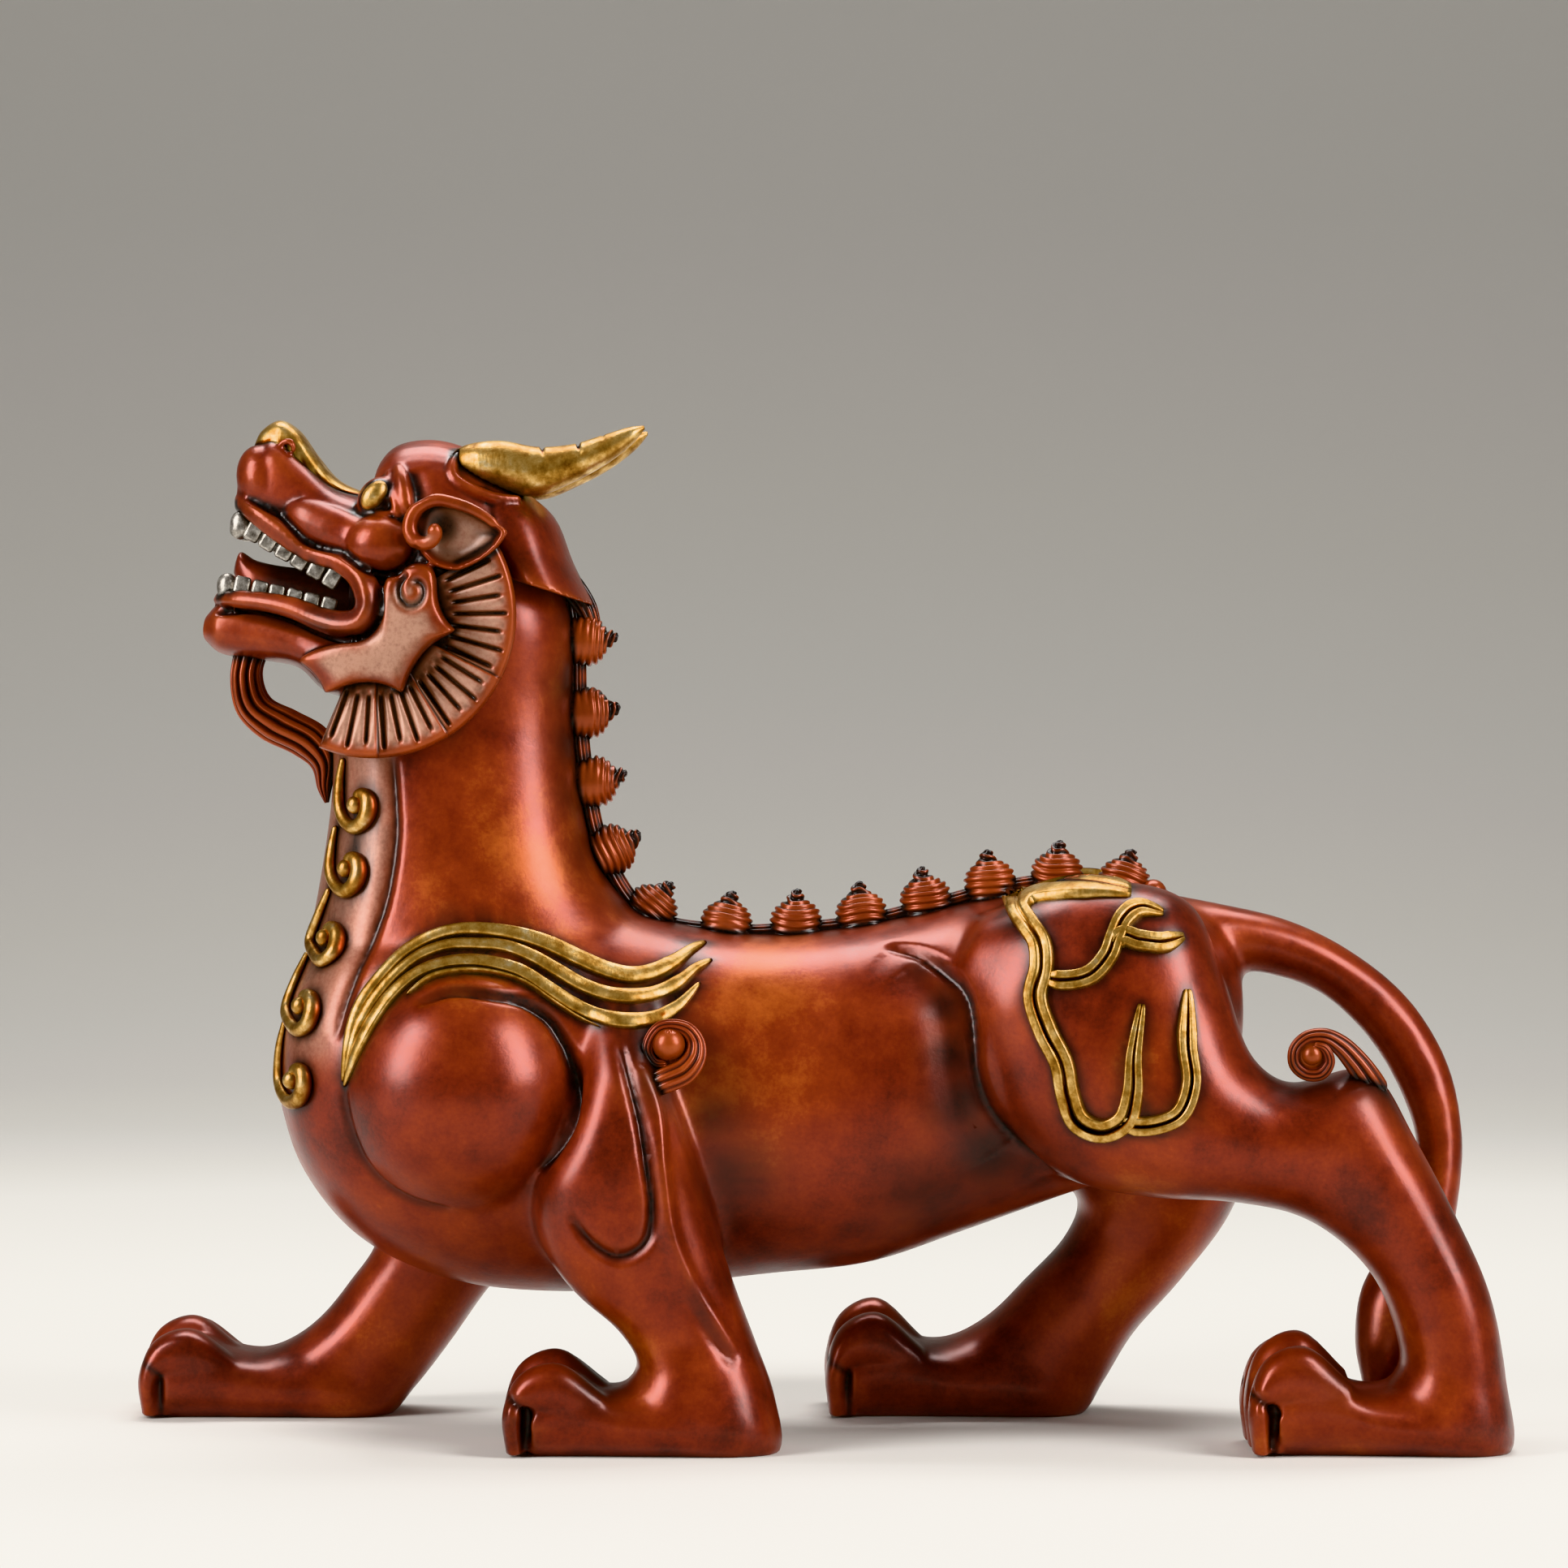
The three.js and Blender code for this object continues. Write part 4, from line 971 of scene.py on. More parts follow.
flame_shapes = []
for flank in FLANKS:
    for part, path in FLAME if flank == NEAR else FLAME[:1]:
        width = FLAME_WIDTH if part == "main" else FLAME_WIDTH * FORK_SHARE
        flame_shapes.append(laid(path, flank, body_skin, width, FLAME_THICKNESS, flame_crown, flame_taper))

# Chest plate: scrolls one under the next. Each is a strap down the edge of the chest that hooks back
# up round a bead. A scroll has the place of its bead and the start of its strap from there.

HOOK = [
    (-2.4, -0.4), (-1.7, -2.1), (-0.4, -2.9), (1.05, -2), (1.6, -0.4), (1.35, 0.9), (0.55, 1.35),
    (-0.2, 0.6),
]
HOOK_GIRTH = [0.85, 0.85, 0.95, 1.15, 1.2, 1.1, 0.95, 1.0]
STRAP_GIRTH = [0.45, 0.75]
SCROLL_STANDING = 0.4
BEAD = 1.2
BEAD_STANDING = 0.6
SCROLLS = [
    (-58.6, 82.7, [(-2.1, 6.2), (-2.45, 3)]),
    (-59.8, 74.4, [(-1.9, 5.6), (-2.35, 2.2)]),
    (-62.5, 65.3, [(0.1, 6.6), (-1.3, 2.9)]),
    (-65.4, 56.6, [(0, 6.8), (-1.4, 3)]),
    (-66.4, 47.3, [(-1.7, 7.4), (-2.3, 3.6)]),
]
scroll_shapes = []
for flank in FLANKS:
    for x, z, strap in SCROLLS:
        girths = STRAP_GIRTH + HOOK_GIRTH
        places = []
        for (dx, dz), girth in zip(strap + HOOK, girths):
            skin_place, facing = on_skin(body_skin, x + dx, z + dz, flank)
            places.append(skin_place + facing * (girth * SCROLL_STANDING))
        scroll_shapes.append(bar(places, girths, sides=18, steps=80))
        skin_place, facing = on_skin(body_skin, x, z, flank)
        bead_place = skin_place + facing * BEAD * BEAD_STANDING
        scroll_shapes.append(ball(bead_place, (BEAD, BEAD, BEAD), fine=20))

# Whisker fans round the cheeks: four leaves, each starting a step above the end of the one before
# and scored with dark strokes that stop short of a plain rim.

FAN_MIDDLE = (-56.5, 107.5)
FAN_RADIUS = 18.6
FAN_HUB = 8.0
FAN_START = 30
FAN_SWEEP = -142
FAN_OUT = (12.2, 15.0)
FAN_THICKNESS = 2.2
LEAF_SHARES = [0.4, 0.22, 0.21, 0.17]
LEAF_STROKES = [7, 4, 4, 3]
LEAF_STEP = 1.3
STROKE_WIDTH = 0.27
STROKE_DEPTH = 0.8
STROKE_INNER = 10.2
STROKE_OUTER = 16.9
STROKE_STAGGER = 0.7
HAIR_HEIGHT = 0.16
HAIR_MIDDLE = 0.75
HAIR_WIDTH = 0.4


def fan(flank):
    """One cheek's fan, swept round as a tube. Its strokes leave a raised hair on each side."""
    shape, angle, share = tube(64, 380)
    away = 1 - np.abs(angle) / np.pi
    top = angle >= 0
    turn = np.radians(FAN_START + FAN_SWEEP * share)
    radius = FAN_HUB + (FAN_RADIUS - FAN_HUB) * away
    out = FAN_OUT[0] + (FAN_OUT[1] - FAN_OUT[0]) * away
    edge = rise((1 - away) * (FAN_RADIUS - FAN_HUB), 0, FAN_THICKNESS / 2)
    rounding = (1 - quarter_round(edge)) * FAN_THICKNESS / 2
    starts = np.concatenate([[0], np.cumsum(LEAF_SHARES)])
    for leaf, strokes in enumerate(LEAF_STROKES):
        inside = (share - starts[leaf]) / LEAF_SHARES[leaf]
        chosen = (inside >= 0) & (inside < 1)
        out = out + np.where(chosen, LEAF_STEP * (0.5 - inside), 0)
        pitch = LEAF_SHARES[leaf] / strokes
        for k in range(strokes):
            middle = starts[leaf] + (k + 0.62) * pitch
            gap = np.radians(abs(FAN_SWEEP)) * (share - middle) * radius
            inner = rise(radius, STROKE_INNER, 0.6)
            outer = rise(STROKE_OUTER - radius + STROKE_STAGGER * (k % 2), 0, 0.5)
            hair = np.exp(-(((np.abs(gap) - HAIR_MIDDLE) / HAIR_WIDTH) ** 2))
            length = inner * outer
            out = out - STROKE_DEPTH * top * length * np.exp(-((gap / STROKE_WIDTH) ** 4))
            out = out + HAIR_HEIGHT * top * length * hair
    out = np.where(top, out - rounding, out - FAN_THICKNESS + rounding)
    x = FAN_MIDDLE[0] + radius * np.cos(turn)
    z = FAN_MIDDLE[1] + radius * np.sin(turn)
    return settle(shape, np.stack([x, flank * out, z], axis=1))


fan_shapes = [fan(flank) for flank in FLANKS]

# Horns lie back side by side and turn up at the tips; each has two nicks in its top.

HORN_THICKNESS = 6.6
HORN_SPREAD = 6.2
HALF_HORN = HORN_THICKNESS / 2
HORN = [
    [-47, 127.9, -46.9, 127.5, HORN_SPREAD - 0.5, HALF_HORN * 0.08],
    [-46.6, 128.7, -46.3, 126.7, HORN_SPREAD - 0.4, HALF_HORN * 0.42],
    [-45.5, 129.5, -45, 125.5, HORN_SPREAD - 0.3, HALF_HORN * 0.74],
    [-43.4, 130.1, -42.6, 124.3, HORN_SPREAD, HALF_HORN * 0.96],
    [-40, 130.3, -39.4, 123.3, HORN_SPREAD + 0.3, HALF_HORN * 1.05],
    [-35.6, 129.5, -35.2, 123.1, HORN_SPREAD + 0.8, HALF_HORN],
    [-31, 129.8, -30.6, 124.9, HORN_SPREAD + 1.2, HALF_HORN * 0.88],
    [-26.8, 131, -26.2, 127.3, HORN_SPREAD + 1.7, HALF_HORN * 0.7],
    [-23.4, 132, -22.9, 129.9, HORN_SPREAD + 2, HALF_HORN * 0.45],
    [-21.5, 132.2, -21.4, 131.7, HORN_SPREAD + 2.1, HALF_HORN * 0.12],
]
# Each nick's place along the horn and its depth; they slant as they go down.
HORN_NICKS = [(-34.7, 0.4), (-29.9, 0.5), (-26.4, 0.12)]
NICK_WIDTH = 0.24
NICK_SLANT = 0.25
HORN_TOP = 129
horn_mesh = gathered([ribbed(HORN, flank, sides=56, square=2, fine=22) for flank in FLANKS], "horns")
horn_places = corners(horn_mesh) / MM
tops = np.clip(facings(horn_mesh)[:, 2], 0, 1)
for x, depth in HORN_NICKS:
    gap = (horn_places[:, 0] - x + NICK_SLANT * (horn_places[:, 2] - HORN_TOP)) / NICK_WIDTH
    horn_places[:, 2] -= depth * tops ** 2 * np.exp(-gap ** 4)
place_corners(horn_mesh, horn_places * MM)

# Gilt ridge along the top of the nose, and the gilt discs of the eyes.

NOSE_RIDGE = [
    [-73.2, 129.4, -72, 126.6, 0, 2.4],
    [-72, 131.8, -70.6, 126.6, 0, 3.8],
    [-69.5, 133.2, -69, 126.8, 0, 4.8],
    [-67.2, 132, -67.2, 125.6, 0, 5.2],
    [-64.7, 128.6, -65.2, 123, 0, 5.4],
    [-61.9, 125.4, -62.6, 120.6, 0, 5.4],
    [-58.2, 123.6, -58.6, 120, 0, 4.8],
]
EYE = ((-56.5, 10.9, 123), (2.2, 1.2, 1.4), 0.9)
ridge_shape = ribbed(NOSE_RIDGE, sides=48, square=3.4, fine=8)
eye_shapes = [ball(*EYE, flank, fine=40) for flank in FLANKS]

# Teeth stand along the inside of the lip in two rows, each with a fang in front.

TOOTH = (2.1, 1.6, 3.2)
TOOTH_EDGE = 0.42
TOOTH_SWAY = 0.04
TOOTH_ROWS = [
    ((-72.5, 5.6, 118.7), (-61.8, 10.4, 112.5)),
    ((-74.2, 6, 111), (-62.5, 10.6, 108.2)),
]
ROW_TEETH = 6
FANGS = [
    [(-74.2, 4.6, 121.2), (-74.4, 4.8, 119.8), (-74.5, 4.8, 118.4), (-74.5, 4.8, 117.4)],
    [(-76, 4.4, 109.4), (-76.2, 4.6, 110.8), (-76.1, 4.6, 112), (-75.8, 4.6, 113)],
]
FANG_GIRTH = [1.2, 1.35, 1.4, 1.2]


def tooth(place, tilt, flank):
    shape = bmesh.new()
    bmesh.ops.create_cube(shape, size=1)
    bmesh.ops.scale(shape, vec=TOOTH, verts=shape.verts)
    bmesh.ops.bevel(
        shape, geom=shape.edges, offset=TOOTH_EDGE, offset_type="OFFSET", segments=4, profile=0.5,
        affect="EDGES", material=-1,
    )
    bmesh.ops.rotate(shape, cent=(0, 0, 0), matrix=Matrix.Rotation(-tilt, 3, "Y"), verts=shape.verts)
    x, y, z = place
    bmesh.ops.translate(shape, vec=(x, y * flank, z), verts=shape.verts)
    return settle(shape, np.array([v.co for v in shape.verts]))


tooth_shapes = []
for flank in FLANKS:
    for first, last in TOOTH_ROWS:
        tilt = math.atan2(last[2] - first[2], last[0] - first[0])
        for k in range(ROW_TEETH):
            place = np.array(first) + (np.array(last) - first) * k / (ROW_TEETH - 1)
            tooth_shapes.append(tooth(place, tilt + TOOTH_SWAY * (-1) ** k, flank))
    tooth_shapes += [bar(flanked(fang, flank), FANG_GIRTH, sides=24, steps=30) for fang in FANGS]

# Tongue, and the goatee of locks that curls back to the throat.

TONGUE = [
    [-75.5, 114.8, -75.8, 113.2, 0, 0.8],
    [-74.9, 115.9, -75.6, 112.6, 0, 2.4],
    [-72.8, 114.8, -73.4, 109, 0, 4.2],
    [-67.4, 113.8, -67.4, 106, 0, 5.4],
    [-58.5, 113.6, -58.5, 104, 0, 5.8],
]
BEARD = [
    [-75.6, 104, -70.6, 104, 0, 3.4],
    [-76.3, 99, -72, 100, 0, 3.6],
    [-75.4, 94.6, -71, 96.8, 0, 3.8],
    [-72.4, 91.4, -67.6, 95, 0, 4],
    [-68, 89.2, -63.6, 92.6, 0, 3.8],
    [-65.6, 87.4, -62, 89, 0, 3],
    [-64.8, 84.6, -62.8, 85.4, 0, 1.7],
    [-63.9, 82.8, -63.3, 82.9, 0, 0.3],
]
tongue_shape = ribbed(TONGUE, sides=40, square=2.4, fine=8)
beard_shape = ribbed(BEARD, sides=120, square=2.2, fine=12, locks=11, lock_depth=0.26)


# Marks of making and wear, with painted shade and a painted highlight, kept on the corners of each piece
# for its finish

# Spots are [x, z, span, strength]: where hands rubbed the patina orange, the strongest one, on the flank
# top, being a painted highlight; painted shade behind the neck and the foreleg and before the haunch; and
# darker patches over the ankles.
RUBBED_AND_HIGHLIGHT_SPOTS = [
    (-5, 61, 9, 1.0), (-34, 74, 7, 0.45), (-6, 45, 10, 0.6), (44, 50, 11, 0.5), (-24, 12, 5, 0.7),
    (40, 33, 6, 0.4),
]
PAINTED_SHADE_SPOTS = [
    (14.4, 61.6, 2.4, 0.7), (17.2, 57, 3.2, 0.85), (18, 51, 3.8, 0.9), (19.2, 44.6, 4.8, 0.9),
    (23, 38, 6, 0.9), (15, 32.6, 7, 0.6), (-12.2, 43, 4, 0.75), (-9.4, 35.6, 5.4, 0.8),
    (-30.6, 98, 3.4, 1.0), (-30.2, 91, 3.4, 1.0), (-29.2, 84.4, 3.6, 0.95), (-26.8, 77.4, 3.8, 0.95),
    (-22, 71.6, 4, 0.8),
]
ANKLE_DARKENING = [(-27, 9.6, 4.5, 0.9), (69, 12, 5, 0.9), (-76, 9.6, 4.5, 0.6), (15.6, 11, 5, 0.8)]
# The round plug of a casting hole shows on the near shoulder only: x, z, radius and how dark it is.
PLUG = (-42.2, 45.7, 0.75, 0.45)
# The shadow in each ear: x, z, radius, how dark, and how far out it ends.
EAR_SHADOW = (-47.6, 118.9, 2.3, 0.95, 15.2)
# Wax starts where the skin lies this deep below the skin smoothed over a span.
FINE_SPAN = 0.55
FINE_START = 0.015
WAX_SPANS = {"spine_knots": 1.2, "spine_cord": 0.8, "leg_curls": 0.7, "beard": 0.9}
WAX_STARTS = {"spine_cord": -0.06, "leg_curls": -0.01, "beard": -0.03, "whisker_fans": 0.0}
# Painted shade darkens the hollows of the skin smoothed over this broad span.
BROAD_SPAN = 2.0
# The knots are too small for a depth to tell their grooves: the deepest part of each is waxed.
KNOT_BARE_SHARE = 0.6
# How far wax reaches out from other pieces, and how far painted shade reaches round the hair on the body.
BRONZE_REACH = 0.9
GILT_REACH = 0.3
HAIR_REACH = 6.0
EYE_WAX = 0.2
# The tongue is darkened from its tip back into the mouth, as painted shade.
TONGUE_TIP = -73
TONGUE_FADE = 3
MOST_ROUNDS = 90
DRAWN_LINES = {"qilin_body": body_lines, "qilin_head": head_lines}
CHEST_EDGE = np.array(PLATE_BORDER[::-1], float).T
CHEST_BOTTOM = 50
CHEST_TOP = 93
LIP_CORNER = 110.4
MOUTH_BACK = -58.6
UPPER_LIP = np.array([point for point in LIP if point[2] > LIP_CORNER], float).T
LOWER_LIP = np.array([point for point in LIP[::-1] if point[2] < LIP_CORNER and point[0] < -58], float).T


def hollows(mesh, span):
    """How far each corner lies below the skin smoothed around it over a span, in millimetres."""
    places = corners(mesh) / MM
    ends = places[[edge.vertices[:] for edge in mesh.edges]]
    grain = np.median(np.linalg.norm(ends[:, 0] - ends[:, 1], axis=1))
    share = 0.9
    rounds = min(max(1, round((span / grain) ** 2 / share)), MOST_ROUNDS)
    return ((relaxed(mesh, places, rounds, share) - places) * facings(mesh)).sum(1)


def in_mouth(places):
    """Which corners lie inside the mouth, between the lips and clear of them."""
    x, y, z = places.T
    ceiling = np.interp(x, UPPER_LIP[0], UPPER_LIP[2])
    ground = np.interp(x, LOWER_LIP[0], LOWER_LIP[2])
    half = np.interp(x, LOWER_LIP[0], LOWER_LIP[1]) - LIP_THICKNESS / 2
    return (x < MOUTH_BACK) & (z < ceiling + 0.4) & (z > ground - 0.4) & (np.abs(y) < half)


def nearness(mesh, tree, reach):
    """How near each corner is to other pieces, from 0 at the reach to 1 where they touch."""
    found = np.zeros(len(mesh.vertices))
    for i, corner in enumerate(mesh.vertices):
        gap = tree.find_nearest(corner.co, reach * MM)[3]
        if gap is not None:
            found[i] = 1 - gap / (reach * MM)
    return found


def inside_outline(places, outline, flank, least_y):
    """Which corners lie inside a side-view outline on one flank."""
    x, z = places[:, 0], places[:, 2]
    inside = np.zeros(len(places), bool)
    for (x1, z1), (x2, z2) in zip(outline, np.roll(outline, -1, axis=0)):
        crosses = (z1 > z) != (z2 > z)
        with np.errstate(divide="ignore", invalid="ignore"):
            inside ^= crosses & (x < (x2 - x1) * (z - z1) / (z2 - z1) + x1)
    return inside & (places[:, 1] * flank > least_y)


def pale_places(name, places):
    """Where the patina was left thin and matt: the ear, the cheek, the whisker fan and the chest."""
    x, y, z = places.T
    if name == "qilin_head":
        plate = PLATE_MIDDLE + (outline_of(PLATE_TIPS) - PLATE_MIDDLE) * 0.8
        ear = EAR_MIDDLE + (outline_of(EAR_TIPS) - EAR_MIDDLE) * 0.75
        return sum(
            inside_outline(places, plate, flank, 12) + inside_outline(places, ear, flank, 12.6)
            for flank in FLANKS
        )
    if name == "qilin_body":
        border = np.interp(z, CHEST_EDGE[1], CHEST_EDGE[0])
        return 0.6 * rise(border - x, 0, 0.8) * (z > CHEST_BOTTOM) * (z < CHEST_TOP)
    if name == "whisker_fans":
        return np.hypot(x - FAN_MIDDLE[0], z - FAN_MIDDLE[1]) < FAN_RADIUS - 1.3
    return np.zeros(len(places))


def spotted(places, spots):
    """Round soft spots, seen from the side, on both flanks."""
    return np.max([
        strength * np.exp(-((places[:, 0] - x) ** 2 + (places[:, 2] - z) ** 2) / span ** 2)
        for x, z, span, strength in spots
    ], axis=0)


def in_lines(places, strokes):
    """How black the wax lies along the carved lines."""
    wax = np.zeros(len(places))
    for stroke in strokes:
        run = along(stroke["path"], 16 * len(stroke["path"]))
        reach = 1.6 * stroke["width"]
        side = places[:, [0, 2]]
        nearby = np.all((side > run.min(0) - reach) & (side < run.max(0) + reach), axis=1)
        chosen = np.flatnonzero(nearby & (places[:, 1] * stroke["flank"] > 3))
        if not len(chosen):
            continue
        gaps = np.linalg.norm(side[chosen][:, None, :] - run[None], axis=2)
        share = gaps.argmin(1) / (len(run) - 1)
        fade = rise(np.minimum(share, 1 - share), 0, max(stroke["tail"], 0.01)) ** 0.5
        across = gaps.min(1) / (0.95 * stroke["width"])
        wax[chosen] = np.maximum(wax[chosen], stroke["wax"] * fade * np.exp(-(across ** 4)))
    return wax


def seen_gap(places, x, z):
    """How far each corner lies from a place in the side view."""
    return np.hypot(places[:, 0] - x, places[:, 2] - z)


def mark_up(name, mesh, others, hairs, reach):
    """Keeps on each corner how waxed it is with painted shade added, how worn, how pale, and how rubbed it
    is with a painted highlight added.
    """
    places = corners(mesh) / MM
    x, y, _ = places.T
    ways = facings(mesh)
    fine = hollows(mesh, WAX_SPANS.get(name, FINE_SPAN))
    broad = hollows(mesh, BROAD_SPAN)
    worn = rise(-fine, 0.02, 0.12) + 0.5 * rise(-broad, 0.2, 0.6)
    pale = relaxed(mesh, pale_places(name, places).astype(float)[:, None], 8, 0.8)[:, 0]
    pale = pale * np.clip(1 - worn, 0, 1)
    start = WAX_STARTS.get(name, FINE_START)
    if name == "spine_knots":
        start = np.quantile(fine, KNOT_BARE_SHARE)
    # Painted shade in broad hollows, then black wax in fine hollows and where other pieces meet.
    wax = 0.9 * rise(broad, 0.05, 0.45) * (1 - 0.9 * pale)
    wax += rise(fine, start, 0.08)
    wax += np.clip(1.7 * nearness(mesh, others, reach), 0, 1)
    wax = np.maximum(np.clip(wax, 0, 1), in_lines(places, DRAWN_LINES.get(name, [])))
    rubbed = np.zeros(len(places))
    if name == "eyes":
        wax = wax * EYE_WAX
    if name == "tongue":
        # Painted shade: the tongue darkens towards the back of the mouth.
        wax = np.maximum(wax, np.clip((x - TONGUE_TIP) / TONGUE_FADE, 0, 0.9))
    if name == "chest_scrolls":
        rubbed = np.clip(0.3 + 2 * ways[:, 0], 0.12, 0.95)
    if name == "qilin_head":
        at_x, at_z, radius, dark, outer = EAR_SHADOW
        shadow = dark * np.exp(-((seen_gap(places, at_x, at_z) / radius) ** 4)) * (np.abs(y) < outer)
        # Painted shade fills the mouth, and a painted shadow lies in each ear.
        wax = np.maximum.reduce([wax, in_mouth(places), shadow])
    if name == "qilin_body":
        at_x, at_z, radius, dark = PLUG
        # Painted shade round the hair pieces and in the spots behind the neck and foreleg and before the
        # haunch; darker patches over the ankles on faces turned up; the plug is its own colour.
        wax = np.maximum.reduce([
            wax,
            0.9 * nearness(mesh, hairs, HAIR_REACH) ** 1.5,
            spotted(places, PAINTED_SHADE_SPOTS),
            spotted(places, ANKLE_DARKENING) * np.clip(1.5 * ways[:, 2] + 0.5, 0, 1),
            dark * np.exp(-((seen_gap(places, at_x, at_z) / radius) ** 6)) * (y <= 0),
        ])
        # Rubbed orange patina, with a painted highlight in the spot on the flank top.
        rubbed = spotted(places, RUBBED_AND_HIGHLIGHT_SPOTS)
    marks = np.stack([wax, worn, pale, rubbed], axis=1).clip(0, 1)
    for key, values in zip(MARKS, relaxed(mesh, marks, 1, 0.6).T):
        mark = mesh.attributes.new(key, "FLOAT", "POINT")
        mark.data.foreach_set("value", values.astype(np.float32))


made = {
    "qilin_body": (body_mesh, BRONZE),
    "qilin_head": (head_mesh, BRONZE),
    "spine_knots": (knot_shapes, BRONZE),
    "spine_cord": ([cord_shape], BRONZE),
    "leg_curls": (curl_shapes, BRONZE),
    "whisker_fans": (fan_shapes, BRONZE),
    "tongue": ([tongue_shape], BRONZE),
    "beard": ([beard_shape], BRONZE),
    "wing_bands": (band_shapes, GILT),
    "haunch_flames": (flame_shapes, GILT),
    "chest_scrolls": (scroll_shapes, GILT),
    "horns": (horn_mesh, GILT),
    "nose_ridge": ([ridge_shape], GILT),
    "eyes": (eye_shapes, GILT),
    "teeth": (tooth_shapes, SILVER),
}
pieces = {}
for name, (form, finish) in made.items():
    mesh = form if isinstance(form, bpy.types.Mesh) else gathered(form, name)
    pieces[name] = (mesh, finish)


def tree_of_pieces(names):
    """Several pieces as one tree to measure distances to."""
    places, faces = [], []
    for name in names:
        mesh, _ = pieces[name]
        first = len(places)
        places += [v.co.copy() for v in mesh.vertices]
        faces += [tuple(first + k for k in p.vertices) for p in mesh.polygons]
    return BVHTree.FromPolygons(places, faces)


hair = tree_of_pieces(["spine_knots", "spine_cord", "leg_curls"])
for name, (mesh, finish) in pieces.items():
    others = tree_of_pieces([other for other in pieces if other != name])
    mark_up(name, mesh, others, hair, BRONZE_REACH if finish == BRONZE else GILT_REACH)

# Finishes


def colour(value):
    """An sRGB hex colour as linear RGBA."""
    parts = [int(value[i:i + 2], 16) / 255 for i in (0, 2, 4)]
    return (*[p / 12.92 if p <= 0.04045 else ((p + 0.055) / 1.055) ** 2.4 for p in parts], 1.0)


def per(size):
    """The scale of a pattern whose features are so many millimetres across."""
    return 1 / (size * MM)


def set_up(tree, node, settings):
    """Settings are a node's properties, its ramp's stops, and its sockets' values or links."""
    for key, value in settings.items():
        if key == "stops":
            stops = node.color_ramp.elements
            while len(stops) < len(value):
                stops.new(0.5)
            for stop, (place, shade) in zip(stops, value):
                stop.position, stop.color = place, colour(shade)
        elif isinstance(value, bpy.types.NodeSocket):
            tree.links.new(value, node.inputs[key])
        elif isinstance(key, int) or key in node.inputs:
            node.inputs[key].default_value = value
        else:
            setattr(node, key, value)


def add(tree, kind, settings, output=0):
    """Adds a node with its settings and links, and gives one of its outputs."""
    node = tree.nodes.new("ShaderNode" + kind)
    set_up(tree, node, settings)
    return node.outputs[output]


def blank(name):
    material = bpy.data.materials.new(name)
    material.use_nodes = True
    return material, material.node_tree, material.node_tree.nodes["Principled BSDF"]


# Sizes of the patterns, in millimetres. The pits of the cast skin are really 0.1 to 0.2 across and the
# scratches of the gilding finer still, so both are drawn coarser than they are, to show at all.
CLOUDS = 24
BLOOMS = 6
PITS = 0.55
GOLD_PATCHES = 2.2
SCRATCHES = 0.35
TARNISH = 1.1


def chestnut_patina():
    """Cast bronze, coloured chestnut with hot chemicals, waxed and rubbed by hand. The brown is thin and
    cloudy, orange where hands wore it and in a painted highlight on the flank top, and black wax stays in
    every hollow, with painted shade in broad hollows, creases and the mouth, under a soft shine."""
    material, tree, shader = blank("chestnut_patina")
    place = add(tree, "TexCoord", {}, "Object")
    wax, worn, pale, rubbed = (add(tree, "Attribute", {"attribute_name": key}, "Fac") for key in MARKS)
    clouds, blooms, grain = (
        add(tree, "TexNoise", {"Vector": place, "Scale": per(size), "Detail": detail, key: value})
        for size, detail, key, value in (
            (CLOUDS, 3.0, "Distortion", 0.5),
            (BLOOMS, 5.0, "Roughness", 0.6),
            (PITS, 4.0, "Roughness", 0.65),
        )
    )
    tone = add(tree, "Math", {"operation": "MULTIPLY_ADD", 0: clouds, 1: 0.5, 2: 0.3})
    # Rubbed spots lift the tone towards orange; the one on the flank top is a painted highlight.
    for pattern, share in ((blooms, 0.36), (rubbed, 0.2), (grain, 0.16)):
        tone = add(tree, "Math", {"operation": "MULTIPLY_ADD", 0: pattern, 1: share, 2: tone})
    brown = add(tree, "ValToRGB", {"Fac": tone, "stops": [
        (0.62, "2c0d06"), (0.72, "571909"), (0.8, "72240e"), (0.9, "873211"), (1.0, "a55020"),
    ]})
    speckle = add(tree, "Math", {"operation": "MULTIPLY_ADD", 0: grain, 1: 1.4, 2: 0.24})
    thin = add(tree, "Math", {"operation": "MULTIPLY", "use_clamp": True, 0: pale, 1: speckle})
    dusty = add(tree, "MixRGB", {"Fac": thin, "Color1": brown, "Color2": colour("a27a66")})
    edges = add(tree, "Math", {"operation": "MULTIPLY", 0: worn, 1: blooms})
    bright = add(tree, "MixRGB", {"Fac": edges, "Color1": dusty, "Color2": colour("9c4a20")})
    ragged = add(tree, "Math", {"operation": "MULTIPLY_ADD", 0: grain, 1: 0.5, 2: 0.72})
    hollow = add(tree, "Math", {"operation": "MULTIPLY", "use_clamp": True, 0: wax, 1: ragged})
    # Black where wax lies and where shade is painted.
    waxed_and_shaded = add(tree, "MixRGB", {"Fac": hollow, "Color1": bright, "Color2": colour("0c0907")})
    rough = add(tree, "MapRange", {
        "Value": blooms, "From Min": 0.35, "From Max": 0.7, "To Min": 0.3, "To Max": 0.46,
    })
    matt = add(tree, "Math", {"operation": "MULTIPLY_ADD", 0: pale, 1: 0.16, 2: rough})
    skin = add(tree, "Bump", {"Height": grain, "Strength": 0.25, "Distance": 0.06 * MM})
    dents = add(tree, "Bump", {"Height": blooms, "Normal": skin, "Strength": 0.35, "Distance": 0.25 * MM})
    set_up(tree, shader, {
        "Metallic": 0.5, "Coat Weight": 0.35, "Coat Roughness": 0.26,
        "Base Color": waxed_and_shaded, "Roughness": matt, "Normal": dents,
    })
    return material


